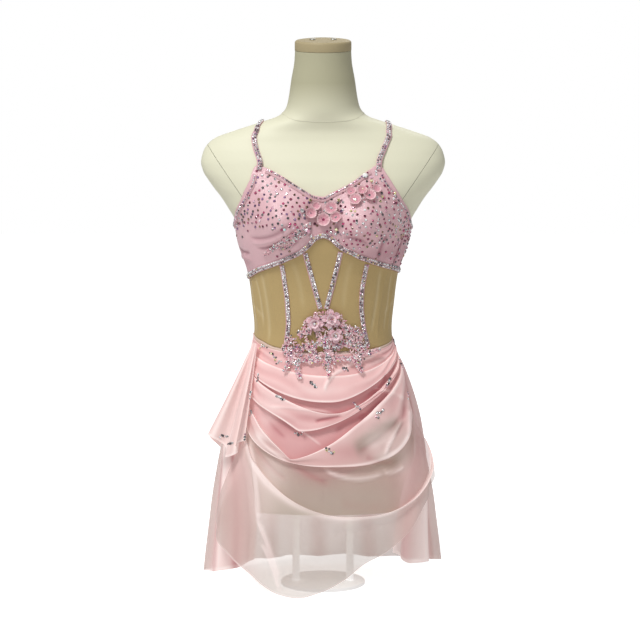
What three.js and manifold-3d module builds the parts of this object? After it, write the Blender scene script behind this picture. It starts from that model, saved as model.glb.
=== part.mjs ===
// A lyrical dance dress on a limbless dress form.
// Millimetres, +Z up, the wearer's front towards -Y. The origin is the middle of the foot plate's underside.
// Every piece of cloth is a thin wall. Those on the torso are worked out from one general torso,
// moved outwards.
import * as THREE from "three";
import { mergeVertices } from "three/addons/utils/BufferGeometryUtils.js";
import Module from "manifold-3d";

const wasm = await Module();
wasm.setup();

// Driving dimensions
const seamGap = 0.3;
// The form's own skin lies this far inside the nominal torso above and below the waist.
const formInset = { above: -1.1, below: -2.2, from: 380, to: 440 };
const formFullness = 0.85; // the cups are padded, so the form's bust is less full
const clothInset = 0.3; // the inner face of the first layer of cloth
const bodiceThick = 1.8;
const meshThick = 1.0;
const trunksThick = 1.3;
const trimThick = 1.5;
const trimLift = 0.9; // clear space between a panel and the trim sewn on it
const sheerThick = 1.2;
const trimWidth = 7;
const strapWidth = 7;
const sideSeam = 88; // degrees from the front centre
const stumpBottom = 130;
const crotchHeight = 192;
const gussetWidth = 22;
const gussetThick = 1.4;
const neckTop = 883;
const capGap = 0.5;
const plateRadius = 70;
const plateThick = 6;
const rodRadius = 6;
const rodSpread = 45;

// The torso, one row for each height: half width, depth in front of and behind the side line,
// squareness of the section (2 is an ellipse), and how far the section leans backwards.
const torsoRows = [
  { height: 130, halfWidth: 143, front: 80, back: 92, square: 2.2, lean: 0 },
  { height: 160, halfWidth: 147, front: 84, back: 98, square: 2.2, lean: 0 },
  { height: 200, halfWidth: 152, front: 90, back: 106, square: 2.2, lean: 0 },
  { height: 240, halfWidth: 154, front: 95, back: 112, square: 2.25, lean: 0 },
  { height: 280, halfWidth: 150, front: 95, back: 110, square: 2.25, lean: 0 },
  { height: 320, halfWidth: 141, front: 92, back: 101, square: 2.2, lean: 0 },
  { height: 360, halfWidth: 128, front: 87, back: 88, square: 2.2, lean: 0 },
  { height: 400, halfWidth: 115, front: 82, back: 75, square: 2.15, lean: 0 },
  { height: 430, halfWidth: 112, front: 81, back: 70, square: 2.1, lean: 0 },
  { height: 475, halfWidth: 116, front: 83, back: 71, square: 2.15, lean: 0 },
  { height: 521, halfWidth: 122, front: 88, back: 77, square: 2.2, lean: 0 },
  { height: 574, halfWidth: 139, front: 98, back: 87, square: 2.25, lean: 0 },
  { height: 604, halfWidth: 144, front: 100, back: 91, square: 2.3, lean: 0 },
  { height: 628, halfWidth: 157, front: 97, back: 92, square: 2.4, lean: 1 },
  { height: 645, halfWidth: 168, front: 94, back: 92, square: 2.45, lean: 2 },
  { height: 659, halfWidth: 179, front: 91, back: 91, square: 2.5, lean: 3 },
  { height: 673, halfWidth: 189, front: 88, back: 90, square: 2.5, lean: 4 },
  { height: 686, halfWidth: 197, front: 84, back: 88, square: 2.5, lean: 5 },
  { height: 702, halfWidth: 201, front: 79, back: 86, square: 2.5, lean: 6 },
  { height: 720, halfWidth: 197, front: 71, back: 81, square: 2.5, lean: 6 },
  { height: 732, halfWidth: 190, front: 66, back: 78, square: 2.4, lean: 6 },
  { height: 743, halfWidth: 176, front: 62, back: 74, square: 2.3, lean: 5 },
  { height: 754, halfWidth: 146, front: 60, back: 68, square: 2.2, lean: 4 },
  { height: 768, halfWidth: 103, front: 62, back: 64, square: 2.1, lean: 2 },
  { height: 779, halfWidth: 72, front: 63, back: 62, square: 2, lean: 0 },
  { height: 792, halfWidth: 61, front: 61, back: 58, square: 2, lean: -3 },
  { height: 808, halfWidth: 57, front: 58, back: 54, square: 2, lean: -5 },
  { height: 835, halfWidth: 53, front: 54, back: 50, square: 2, lean: -8 },
  { height: 868, halfWidth: 47.5, front: 50, back: 47, square: 2, lean: -11 },
  { height: 902, halfWidth: 46, front: 48, back: 46, square: 2, lean: -14 },
];

// The two cups of the bust: where each is fullest and how far it falls away.
const bust = { apart: 70, height: 608, forward: 26, wide: 40, above: 45, below: 37.5 };
const neckTilt = { from: 800, to: 875, slope: Math.tan((6 * Math.PI) / 180) };

// The bodice front, one row for each angle from the front centre: its upper and lower edge.
const bodiceRows = [
  { angle: -88, top: 603, bottom: 511 },
  { angle: -70, top: 614, bottom: 517 },
  { angle: -52, top: 636, bottom: 528 },
  { angle: -42, top: 656, bottom: 534 },
  { angle: -35, top: 676, bottom: 539 },
  { angle: -30, top: 698, bottom: 543 },
  { angle: -25, top: 693, bottom: 548 },
  { angle: -20, top: 683, bottom: 553 },
  { angle: -15, top: 671, bottom: 559 },
  { angle: -10, top: 660, bottom: 569 },
  { angle: -5, top: 651, bottom: 581 },
  { angle: 0, top: 649, bottom: 585 },
  { angle: 5, top: 656, bottom: 581 },
  { angle: 10, top: 664, bottom: 570 },
  { angle: 15, top: 674, bottom: 562 },
  { angle: 20, top: 688, bottom: 557 },
  { angle: 25, top: 699, bottom: 551 },
  { angle: 30, top: 682, bottom: 547 },
  { angle: 38, top: 659, bottom: 541 },
  { angle: 50, top: 636, bottom: 534 },
  { angle: 72, top: 610, bottom: 526 },
  { angle: 88, top: 600, bottom: 521 },
];
const backBandRows = [
  { angle: 88, top: 600, bottom: 521 },
  { angle: 110, top: 594, bottom: 519 },
  { angle: 150, top: 588, bottom: 515 },
  { angle: 180, top: 586, bottom: 513 },
  { angle: 210, top: 589, bottom: 512 },
  { angle: 250, top: 597, bottom: 511 },
  { angle: 272, top: 603, bottom: 511 },
];
const waistSeamRows = [
  { angle: -88, height: 420 },
  { angle: -59, height: 412 },
  { angle: -42, height: 404.5 },
  { angle: -20, height: 400 },
  { angle: 0, height: 398.5 },
  { angle: 22, height: 399.5 },
  { angle: 40, height: 401 },
  { angle: 59, height: 405.5 },
  { angle: 88, height: 413 },
  { angle: 130, height: 420 },
  { angle: 180, height: 424 },
  { angle: 230, height: 424 },
  { angle: 272, height: 420 },
];
// The leg line of the trunks, the same on both sides.
const legLineRows = [
  { angle: 0, height: 191.7 },
  { angle: 8, height: 191.7 },
  { angle: 12, height: 196 },
  { angle: 18, height: 205 },
  { angle: 28, height: 222 },
  { angle: 40, height: 245 },
  { angle: 55, height: 268 },
  { angle: 70, height: 283 },
  { angle: 88, height: 290 },
  { angle: 104, height: 278 },
  { angle: 122, height: 242 },
  { angle: 142, height: 208 },
  { angle: 158, height: 195 },
  { angle: 173, height: 191.7 },
  { angle: 180, height: 191.7 },
];

// The four bands across the midriff, as angle and height down the middle of each.
const midriffBands = {
  midriff_band_outer_left: [
    { angle: -30.3, height: 539.5 },
    { angle: -30, height: 514 },
    { angle: -28.9, height: 483 },
    { angle: -29, height: 450 },
    { angle: -30.3, height: 425 },
    { angle: -31, height: 408 },
  ],
  midriff_band_inner_left: [
    { angle: -12.2, height: 560 },
    { angle: -10.2, height: 536 },
    { angle: -7.6, height: 511 },
    { angle: -4.8, height: 488 },
    { angle: -2.3, height: 469 },
  ],
  midriff_band_inner_right: [
    { angle: 11.8, height: 562 },
    { angle: 10, height: 536 },
    { angle: 7.6, height: 511 },
    { angle: 4.9, height: 488 },
    { angle: 2.6, height: 469 },
  ],
  midriff_band_outer_right: [
    { angle: 32.2, height: 541 },
    { angle: 31.8, height: 522 },
    { angle: 30.8, height: 499 },
    { angle: 31.2, height: 474 },
    { angle: 33.2, height: 450 },
    { angle: 36.4, height: 424 },
    { angle: 38.2, height: 406.5 },
  ],
};

// A shoulder strap runs from the cup's point over the shoulder and down to the back band.
const leftStrapRows = [
  { angle: -29.4, height: 690, lift: 3.2 },
  { angle: -28.6, height: 702, lift: 3 },
  { angle: -31, height: 721, lift: 0.8 },
  { angle: -36, height: 740, lift: 0.6 },
  { angle: -44, height: 752.5, lift: 0.6 },
  { angle: -57, height: 761.5, lift: 0.6 },
  { angle: -74, height: 767.5, lift: 0.6 },
  { angle: -92, height: 768.8, lift: 0.6 },
  { angle: -108, height: 767, lift: 0.6 },
  { angle: -124, height: 761.5, lift: 0.6 },
  { angle: -136, height: 750, lift: 0.6 },
  { angle: -143, height: 730, lift: 0.6 },
  { angle: -147, height: 700, lift: 0.6 },
  { angle: -149, height: 660, lift: 0.6 },
  { angle: -151, height: 620, lift: 0.6 },
  { angle: -153, height: 604, lift: 0.8 },
  { angle: -153.5, height: 594, lift: 3.2 },
  { angle: -154, height: 576, lift: 3.2 },
];
const rightStrapRows = [
  { angle: 25.2, height: 690, lift: 3.2 },
  { angle: 25.2, height: 702, lift: 3 },
  { angle: 28, height: 722, lift: 0.8 },
  { angle: 34, height: 741, lift: 0.6 },
  { angle: 46, height: 755, lift: 0.6 },
  { angle: 60, height: 762, lift: 0.6 },
  { angle: 76, height: 766, lift: 0.6 },
  { angle: 92, height: 767, lift: 0.6 },
  { angle: 108, height: 765.5, lift: 0.6 },
  { angle: 124, height: 760.5, lift: 0.6 },
  { angle: 136, height: 750, lift: 0.6 },
  { angle: 143, height: 730, lift: 0.6 },
  { angle: 147, height: 700, lift: 0.6 },
  { angle: 149, height: 660, lift: 0.6 },
  { angle: 151, height: 620, lift: 0.6 },
  { angle: 153, height: 604, lift: 0.8 },
  { angle: 153.5, height: 594, lift: 3.2 },
  { angle: 154, height: 576, lift: 3.2 },
];

// The front drape's own sections, and the angles at which its two side edges lie.
const drapeRows = [
  { height: 5, halfWidth: 184, front: 150, left: -72, right: 90 },
  { height: 50, halfWidth: 186, front: 148, left: -72, right: 90 },
  { height: 100, halfWidth: 187, front: 143, left: -70, right: 90 },
  { height: 150, halfWidth: 187, front: 134, left: -65, right: 89 },
  { height: 200, halfWidth: 184, front: 124, left: -56, right: 86 },
  { height: 255, halfWidth: 172, front: 114, left: -49, right: 72 },
  { height: 285, halfWidth: 161, front: 108, left: -49, right: 66 },
  { height: 308, halfWidth: 154, front: 105, left: -51, right: 66 },
  { height: 340, halfWidth: 143, front: 100, left: -56, right: 69 },
  { height: 365, halfWidth: 133, front: 96, left: -62, right: 73 },
  { height: 395, halfWidth: 120.5, front: 89, left: -75, right: 81 },
  { height: 425, halfWidth: 115.5, front: 85, left: -83, right: 87 },
];
// The swags of the front drape from the waist down: the height of each fold's lip at the left side,
// at its lowest place and at the right side, the share of the width where it is lowest,
// how soft that corner is, how bowed each branch is, and how far the lip stands out.
const swagRows = [
  { left: 416, low: 396, right: 411, at: 0.5, corner: 0.6, leftBow: 1.6, rightBow: 1.6, depth: 0 },
  { left: 407, low: 357, right: 410, at: 0.4, corner: 0.35, leftBow: 1.1, rightBow: 1.25, depth: 7 },
  { left: 377, low: 317, right: 399, at: 0.47, corner: 0.3, leftBow: 1.6, rightBow: 1.6, depth: 11 },
  { left: 352, low: 295, right: 388, at: 0.5, corner: 0.2, leftBow: 1.15, rightBow: 1.3, depth: 9 },
  { left: 330, low: 254, right: 375, at: 0.4, corner: 0.08, leftBow: 0.9, rightBow: 1.1, depth: 12 },
  { left: 312, low: 228, right: 354, at: 0.29, corner: 0.06, leftBow: 0.9, rightBow: 1, depth: 12 },
  { left: 284, low: 203, right: 305, at: 0.36, corner: 0.1, leftBow: 0.95, rightBow: 1.2, depth: 10 },
  { left: 272, low: 140, right: 252, at: 0.53, corner: 0.25, leftBow: 1.3, rightBow: 1.45, depth: 10 },
];
const hemRows = [
  { share: 0, height: 120 },
  { share: 0.08, height: 84 },
  { share: 0.165, height: 51 },
  { share: 0.25, height: 26 },
  { share: 0.31, height: 14 },
  { share: 0.37, height: 11 },
  { share: 0.43, height: 18 },
  { share: 0.51, height: 38 },
  { share: 0.58, height: 64 },
  { share: 0.64, height: 79 },
  { share: 0.71, height: 107 },
  { share: 0.76, height: 134 },
  { share: 0.84, height: 156 },
  { share: 0.93, height: 176 },
  { share: 1, height: 192 },
];
// Soft upright folds in the loose apron under the swags: place across, width and depth.
const apronFolds = [
  { share: 0.07, wide: 0.035, deep: 9 },
  { share: 0.2, wide: 0.045, deep: -7 },
  { share: 0.36, wide: 0.05, deep: 7 },
  { share: 0.55, wide: 0.07, deep: -6 },
  { share: 0.74, wide: 0.05, deep: 7 },
  { share: 0.9, wide: 0.04, deep: -7 },
];
// The back skirt's sections, its front edges and its hem.
const backSkirtRows = [
  { height: 0, halfWidth: 193, front: 110, back: 153, left: -34, right: 33 },
  { height: 60, halfWidth: 188, front: 110, back: 150, left: -34, right: 34 },
  { height: 110, halfWidth: 183, front: 110, back: 145, left: -34, right: 37 },
  { height: 150, halfWidth: 179, front: 110, back: 141, left: -36, right: 41 },
  { height: 200, halfWidth: 172, front: 108, back: 135, left: -41, right: 50 },
  { height: 240, halfWidth: 166, front: 106, back: 129, left: -48, right: 61 },
  { height: 280, halfWidth: 160, front: 104, back: 121, left: -52, right: 69 },
  { height: 320, halfWidth: 150, front: 101, back: 110, left: -57, right: 71 },
  { height: 360, halfWidth: 136, front: 95, back: 95, left: -66, right: 77 },
  { height: 400, halfWidth: 120, front: 87, back: 80, left: -81, right: 86.5 },
  { height: 425, halfWidth: 115, front: 84, back: 74.5, left: -87, right: 90 },
];
// Its hem, which rises towards the two front edges.
const backHemRows = [
  { angle: 33, height: 75 },
  { angle: 40, height: 67 },
  { angle: 50, height: 49 },
  { angle: 62, height: 50 },
  { angle: 85, height: 43 },
  { angle: 110, height: 30 },
  { angle: 150, height: 17 },
  { angle: 210, height: 14 },
  { angle: 250, height: 19 },
  { angle: 285, height: 26 },
  { angle: 310, height: 41 },
  { angle: 326, height: 62 },
];
const backFlutes = { count: 11, deep: 9, startHeight: 400 };

// The cascade that falls from the left side seam, across from its inner edge to the layer behind it:
// where each fold line starts at the waist and where it ends at the hem.
const cascadeRows = [
  { share: 0, topX: -107, topY: -53, hemX: -127, hemY: -91, hemHeight: 256 },
  { share: 0.17, topX: -109, topY: -52, hemX: -141, hemY: -101, hemHeight: 250 },
  { share: 0.3, topX: -109.5, topY: -49, hemX: -138, hemY: -86, hemHeight: 237 },
  { share: 0.47, topX: -111.5, topY: -47, hemX: -159, hemY: -95, hemHeight: 228 },
  { share: 0.6, topX: -112, topY: -43, hemX: -157, hemY: -77, hemHeight: 240 },
  { share: 0.8, topX: -115, topY: -38, hemX: -188, hemY: -68, hemHeight: 262 },
  { share: 1, topX: -114, topY: -33, hemX: -168, hemY: -54, hemHeight: 238 },
];
const cascadeTop = 409;

// Three-dimensional flowers: across, height, radius, and how far each stands off the torso.
const flowers = {
  waist_flower_left: { across: -13, height: 446, radius: 14, lift: 5.7, turn: 0 },
  waist_flower_top: { across: 13, height: 453, radius: 15, lift: 5.7, turn: 30 },
  waist_flower_right: { across: 19, height: 426, radius: 13, lift: 7.6, turn: 55 },
};
// Lace leaves, one row each: middle across and height, half length, half width and direction in degrees.
const waistLeaves = [
  { across: -36, height: 428, long: 21, wide: 6, turn: 27 },
  { across: -57, height: 411, long: 14, wide: 6, turn: 56 },
  { across: -8, height: 412, long: 19, wide: 7, turn: 41 },
  { across: 17, height: 413, long: 19, wide: 6.5, turn: -45 },
  { across: 42, height: 435, long: 21, wide: 6, turn: -27 },
  { across: 46, height: 408, long: 25, wide: 5.5, turn: -11 },
  { across: 67, height: 395, long: 24, wide: 5, turn: 14 },
  { across: -51, height: 392, long: 17, wide: 6.5, turn: -42 },
  { across: -41, height: 373, long: 15, wide: 5.5, turn: -74 },
  { across: -55, height: 379, long: 14, wide: 5, turn: 62 },
  { across: -27, height: 386, long: 21, wide: 6, turn: 3 },
  { across: -33, height: 404, long: 22, wide: 5, turn: 6 },
  { across: -25, height: 417, long: 15, wide: 4, turn: 60 },
  { across: -13, height: 395, long: 15, wide: 7, turn: -55 },
  { across: 6, height: 402, long: 21, wide: 6, turn: -84 },
  { across: 23, height: 388, long: 22, wide: 5.5, turn: 2 },
  { across: 8, height: 375, long: 15, wide: 5, turn: 90 },
  { across: 46, height: 386, long: 17, wide: 6, turn: -10 },
  { across: 55, height: 377, long: 12, wide: 5, turn: -58 },
  { across: 58, height: 418, long: 14, wide: 4.5, turn: 62 },
  { across: 41, height: 421, long: 17, wide: 6, turn: -58 },
];
const bodiceLeavesLeft = [
  { across: -34, height: 599, long: 15, wide: 6, turn: 30 },
  { across: -51, height: 589, long: 16, wide: 5.5, turn: 32 },
  { across: -68, height: 577, long: 16, wide: 5, turn: 36 },
  { across: -84, height: 565, long: 14, wide: 4.5, turn: 38 },
  { across: -38, height: 588, long: 15, wide: 5, turn: 34 },
  { across: -56, height: 576, long: 16, wide: 5, turn: 36 },
  { across: -50, height: 582, long: 12, wide: 4, turn: 80 },
];
const bodiceLeavesCentre = [
  { across: 7, height: 622, long: 18, wide: 7.5, turn: 54 },
  { across: -9, height: 620, long: 20, wide: 6.5, turn: -15 },
  { across: 17, height: 624, long: 14, wide: 6.5, turn: -62 },
];
const bodiceLeavesRight = [
  { across: 49, height: 649, long: 12, wide: 7, turn: -68 },
  { across: 63, height: 647, long: 18, wide: 7, turn: 17 },
  { across: 77, height: 660, long: 15, wide: 6, turn: 58 },
];
// The cupped petals of the bodice flowers, each a small round dish.
const petalsCentre = [
  { across: 13.5, height: 631, radius: 9 },
  { across: 0.5, height: 613, radius: 9 },
  { across: -21, height: 623, radius: 8 },
  { across: 22, height: 617, radius: 8 },
];
const petalsRight = [
  { across: 52, height: 643, radius: 8.5 },
  { across: 73, height: 650, radius: 9 },
  { across: 45, height: 656, radius: 7 },
];
const leafThick = 1.6;
const laceLift = 4.6;
const laceGap = 0.8;
const petalThick = 1.3;

const radians = (degrees) => (degrees * Math.PI) / 180;
const mix = (a, b, share) => a + (b - a) * share;
const clamp01 = (x) => Math.min(1, Math.max(0, x));
const ease = (x) => {
  const t = clamp01(x);
  return t * t * (3 - 2 * t);
};

// A smooth curve through one column of a table, read at a place in another column.
function column(rows, by, key) {
  const slopes = rows.map((row, i) => {
    const before = rows[Math.max(0, i - 1)];
    const after = rows[Math.min(rows.length - 1, i + 1)];
    const rise = (a, b) => (b[key] - a[key]) / (b[by] - a[by]);
    if (before === row) return rise(row, after);
    if (after === row) return rise(before, row);
    const left = rise(before, row);
    const right = rise(row, after);
    return left * right <= 0 ? 0 : (2 * left * right) / (left + right);
  });
  return (at) => {
    const last = rows.length - 1;
    if (at <= rows[0][by]) return rows[0][key];
    if (at >= rows[last][by]) return rows[last][key];
    let i = 0;
    while (rows[i + 1][by] < at) i += 1;
    const span = rows[i + 1][by] - rows[i][by];
    const t = (at - rows[i][by]) / span;
    const [t2, t3] = [t * t, t * t * t];
    return (
      (2 * t3 - 3 * t2 + 1) * rows[i][key] +
      (t3 - 2 * t2 + t) * span * slopes[i] +
      (3 * t2 - 2 * t3) * rows[i + 1][key] +
      (t3 - t2) * span * slopes[i + 1]
    );
  };
}

// All the columns of a table at once.
function sections(rows, by) {
  const keys = Object.keys(rows[0]).filter((key) => key !== by);
  const columns = keys.map((key) => [key, column(rows, by, key)]);
  return (at) => Object.fromEntries(columns.map(([key, read]) => [key, read(at)]));
}

const torsoAt = sections(torsoRows, "height");
const bodiceAt = sections(bodiceRows, "angle");
const backBandAt = sections(backBandRows, "angle");
const waistSeamAt = column(waistSeamRows, "angle", "height");
const legLineAt = column(legLineRows, "angle", "height");
const drapeAt = sections(drapeRows, "height");
const backSkirtAt = sections(backSkirtRows, "height");
const hemAt = column(hemRows, "share", "height");
const backHemAt = column(backHemRows, "angle", "height");

// A point on a section: angle in degrees, 0 at the front and 90 at +X.
function onSection({ halfWidth, front, back, square = 2 }, angle) {
  const [s, c] = [Math.sin(radians(angle)), Math.cos(radians(angle))];
  const round = (Math.abs(s) ** square + Math.abs(c) ** square) ** (-1 / square);
  return { x: halfWidth * round * s, y: -(c > 0 ? front : back) * round * c };
}

function bustForward(x, height) {
  const above = height > bust.height ? bust.above : bust.below;
  const fall = ((height - bust.height) / above) ** 2;
  const one = (middle) => Math.exp(-(((x - middle) / bust.wide) ** 2) - fall);
  return bust.forward * (one(-bust.apart) + one(bust.apart));
}

function torsoSkin(angle, height, fullness = 1) {
  const section = torsoAt(height);
  const { x, y } = onSection(section, angle);
  const facing = Math.cos(radians(angle));
  const forward = facing > 0 ? bustForward(x, height) * Math.min(1, facing * 2.2) : 0;
  const tilt = neckTilt.slope * ease((height - neckTilt.from) / (neckTilt.to - neckTilt.from));
  return new THREE.Vector3(x, y + section.lean - fullness * forward, height + tilt * y);
}

// The torso moved outwards along its own normal.
function torso(angle, height, lift, fullness = 1) {
  const [turn, rise] = [0.6, 2];
  const skin = (a, h) => torsoSkin(a, h, fullness);
  const along = skin(angle + turn, height).sub(skin(angle - turn, height));
  const upward = skin(angle, height + rise).sub(skin(angle, height - rise));
  const normal = along.cross(upward).normalize();
  return skin(angle, height).addScaledVector(normal, lift);
}

// The angle at which the front of the torso has a given place across.
function angleAcross(across, height) {
  let [low, high] = [-89, 89];
  for (let step = 0; step < 40; step += 1) {
    const middle = (low + high) / 2;
    if (torsoSkin(middle, height).x < across) low = middle;
    else high = middle;
  }
  return (low + high) / 2;
}

// A closed solid from a list of triangles, with its faces turned outwards.
function closedGeometry(positions, triangles) {
  let volume = 0;
  for (const [a, b, c] of triangles)
    volume += positions[a].dot(positions[b].clone().cross(positions[c]));
  const facing = volume < 0 ? triangles.map(([a, b, c]) => [a, c, b]) : triangles;
  const geometry = new THREE.BufferGeometry();
  const flat = new Float32Array(positions.flatMap((p) => [p.x, p.y, p.z]));
  geometry.setAttribute("position", new THREE.BufferAttribute(flat, 3));
  geometry.setIndex(facing.flat());
  return geometry;
}

// A wall of cloth: pointAt(across, down) gives its middle surface, with both shares from 0 to 1.
// across and down are the shares at which it has its columns and rows.
function clothWall(pointAt, across, down, thick) {
  const [columns, rows] = [across.length, down.length];
  const middle = down.flatMap((v) => across.map((u) => pointAt(u, v)));
  const index = (column, row) => row * columns + column;
  const normals = middle.map(() => new THREE.Vector3());
  const quads = [];
  for (let row = 0; row + 1 < rows; row += 1)
    for (let column = 0; column + 1 < columns; column += 1)
      quads.push([
        index(column, row),
        index(column + 1, row),
        index(column + 1, row + 1),
        index(column, row + 1),
      ]);
  for (const [a, b, c, d] of quads) {
    const first = middle[c].clone().sub(middle[a]);
    const second = middle[d].clone().sub(middle[b]);
    const normal = first.cross(second).normalize();
    for (const corner of [a, b, c, d]) normals[corner].add(normal);
  }
  normals.forEach((normal) => normal.normalize());
  const moved = (side) =>
    middle.map((p, i) => p.clone().addScaledVector(normals[i], (side * thick) / 2));
  const positions = [...moved(1), ...moved(-1)];
  const other = middle.length;
  const triangles = [];
  for (const [a, b, c, d] of quads) {
    triangles.push([a, b, c], [a, c, d]);
    triangles.push([other + a, other + c, other + b], [other + a, other + d, other + c]);
  }
  const rim = [];
  for (let column = 0; column + 1 < columns; column += 1) {
    rim.push([index(column + 1, 0), index(column, 0)]);
    rim.push([index(column, rows - 1), index(column + 1, rows - 1)]);
  }
  for (let row = 0; row + 1 < rows; row += 1) {
    rim.push([index(0, row), index(0, row + 1)]);
    rim.push([index(columns - 1, row + 1), index(columns - 1, row)]);
  }
  for (const [a, b] of rim) triangles.push([a, b, other + b], [a, other + b, other + a]);
  return closedGeometry(positions, triangles);
}

const even = (count) => Array.from({ length: count + 1 }, (_, i) => i / count);

// A panel on the torso between two edges, each a height for every angle.
function torsoPanel({ from, to, top, bottom, lift, thick, columns, rows }) {
  const pointAt = (u, v) => {
    const angle = mix(from, to, u);
    return torso(angle, mix(top(angle), bottom(angle), v), lift + thick / 2);
  };
  return clothWall(pointAt, columns, rows, thick);
}

// A narrow band sewn along a line of angle, height and lift on the torso.
function torsoBand(placeAt, { steps, width, thick }) {
  const centre = (share) => {
    const { angle, height, lift } = placeAt(share);
    return torso(angle, height, lift + thick / 2);
  };
  const pointAt = (u, v) => {
    const share = Math.min(0.999, Math.max(0.001, u));
    const { angle, height, lift } = placeAt(share);
    const along = centre(share + 0.001).sub(centre(share - 0.001));
    const normal = torso(angle, height, lift + 1).sub(torso(angle, height, lift));
    const side = along.cross(normal).normalize();
    return centre(u).addScaledVector(side, (v - 0.5) * width);
  };
  return clothWall(pointAt, even(steps), [0, 1], thick);
}

// A line through the rows of a table, by share of the way along it.
function along(rows) {
  const marked = rows.map((row, i) => ({ ...row, share: i / (rows.length - 1) }));
  return sections(marked, "share");
}

function solidFrom(geometry) {
  const bare = new THREE.BufferGeometry();
  const source = geometry.index ? geometry.toNonIndexed() : geometry;
  bare.setAttribute("position", source.getAttribute("position").clone());
  const merged = mergeVertices(bare, 1e-4);
  return new wasm.Manifold(
    new wasm.Mesh({
      numProp: 3,
      vertProperties: merged.attributes.position.array,
      triVerts: new Uint32Array(merged.index.array),
    }),
  );
}

function geometryFrom(solid) {
  const { vertProperties, triVerts } = solid.getMesh();
  const geometry = new THREE.BufferGeometry();
  geometry.setAttribute("position", new THREE.BufferAttribute(new Float32Array(vertProperties), 3));
  geometry.setIndex(new THREE.BufferAttribute(new Uint32Array(triVerts), 1));
  return geometry;
}

const cloth = (color, roughness) => new THREE.MeshStandardMaterial({ color, roughness });
const materials = {
  bodice: cloth(0xe6a9b4, 0.6),
  mesh: cloth(0xb89c66, 0.8),
  trunks: cloth(0xe3a3a6, 0.7),
  sheer: cloth(0xf0c6c2, 0.8),
  lace: cloth(0xe3a9b8, 0.7),
  trim: cloth(0xd9c2c6, 0.35),
  form: cloth(0xe2e0cc, 0.75),
  metal: new THREE.MeshStandardMaterial({ color: 0xd8d8d6, roughness: 0.35, metalness: 0.8 }),
};

const dress = new THREE.Group();
function addPiece(name, geometry, material) {
  const mesh = new THREE.Mesh(geometry, material);
  mesh.name = name;
  dress.add(mesh);
}

// The form: one closed torso, cut between the thighs and at the two arm planes.
function ringStack(levels, pointOn, segments) {
  const positions = levels.flatMap((level) =>
    Array.from({ length: segments }, (_, i) => pointOn((i * 360) / segments, level)),
  );
  const triangles = [];
  levels.slice(1).forEach((_, ring) => {
    for (let i = 0; i < segments; i += 1) {
      const next = (i + 1) % segments;
      const [a, b] = [ring * segments + i, ring * segments + next];
      triangles.push([a, b, b + segments], [a, b + segments, a + segments]);
    }
  });
  const capAt = (ring, flip) => {
    const middle = new THREE.Vector3();
    for (let i = 0; i < segments; i += 1) middle.add(positions[ring * segments + i]);
    positions.push(middle.divideScalar(segments));
    for (let i = 0; i < segments; i += 1) {
      const [a, b] = [ring * segments + i, ring * segments + ((i + 1) % segments)];
      triangles.push(flip ? [positions.length - 1, b, a] : [positions.length - 1, a, b]);
    }
  };
  capAt(0, true);
  capAt(levels.length - 1, false);
  return closedGeometry(positions, triangles);
}

const formLevels = [
  130, 165, 205, 245, 285, 325, 360, 385, 408, 432, 475, 512, 540, 560, 578, 592, 608, 628, 650, 673, 700,
  720, 736, 750, 760, 769, 780, 800, 835, neckTop,
];
// Its columns stand closer together over the bust.
const formSides = 34;
const formAngle = (turn) => turn - 12 * Math.sin(radians(turn));
const formInsetAt = (height) => {
  const { above, below, from, to } = formInset;
  return mix(below, above, ease((height - from) / (to - from)));
};
const formSkin = (turn, level) => torso(formAngle(turn), level, formInsetAt(level), formFullness);
const wholeForm = solidFrom(ringStack(formLevels, formSkin, formSides));

// The space between the thighs, wider below, as a prism from front to back.
const thighGap = new THREE.Shape();
const thighGapSide = [
  [gussetWidth / 2 + 1.5, crotchHeight],
  [18, 178],
  [26, 156],
  [32, stumpBottom - 5],
];
thighGap.moveTo(-thighGapSide[0][0], crotchHeight);
thighGapSide.forEach(([x, z]) => thighGap.lineTo(x, z));
thighGapSide.toReversed().forEach(([x, z]) => thighGap.lineTo(-x, z));
const gapDepth = 300;
const gapPrism = new THREE.ExtrudeGeometry(thighGap, { depth: gapDepth, bevelEnabled: false });
gapPrism.rotateX(Math.PI / 2).translate(0, gapDepth / 2, 0);

// The arm planes: each slopes from the shoulder's point in to the armpit.
const armPlane = { across: 191, height: 734, slope: 35, sawCut: 0.6, reach: 300 };
function armBlock(side, inwards) {
  const block = new THREE.BoxGeometry(armPlane.reach, armPlane.reach, armPlane.reach);
  block.translate(armPlane.reach / 2 - inwards, 0, 0);
  block.rotateY(radians(armPlane.slope));
  block.translate(armPlane.across, 0, armPlane.height);
  if (side < 0) block.rotateZ(Math.PI);
  return solidFrom(block);
}
let formTorso = wholeForm.subtract(solidFrom(gapPrism));
for (const side of [-1, 1]) {
  const name = side < 0 ? "form_arm_plate_left" : "form_arm_plate_right";
  addPiece(name, geometryFrom(wholeForm.intersect(armBlock(side, 0))), materials.form);
  formTorso = formTorso.subtract(armBlock(side, armPlane.sawCut));
}
addPiece("form_torso", geometryFrom(formTorso), materials.form);

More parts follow.
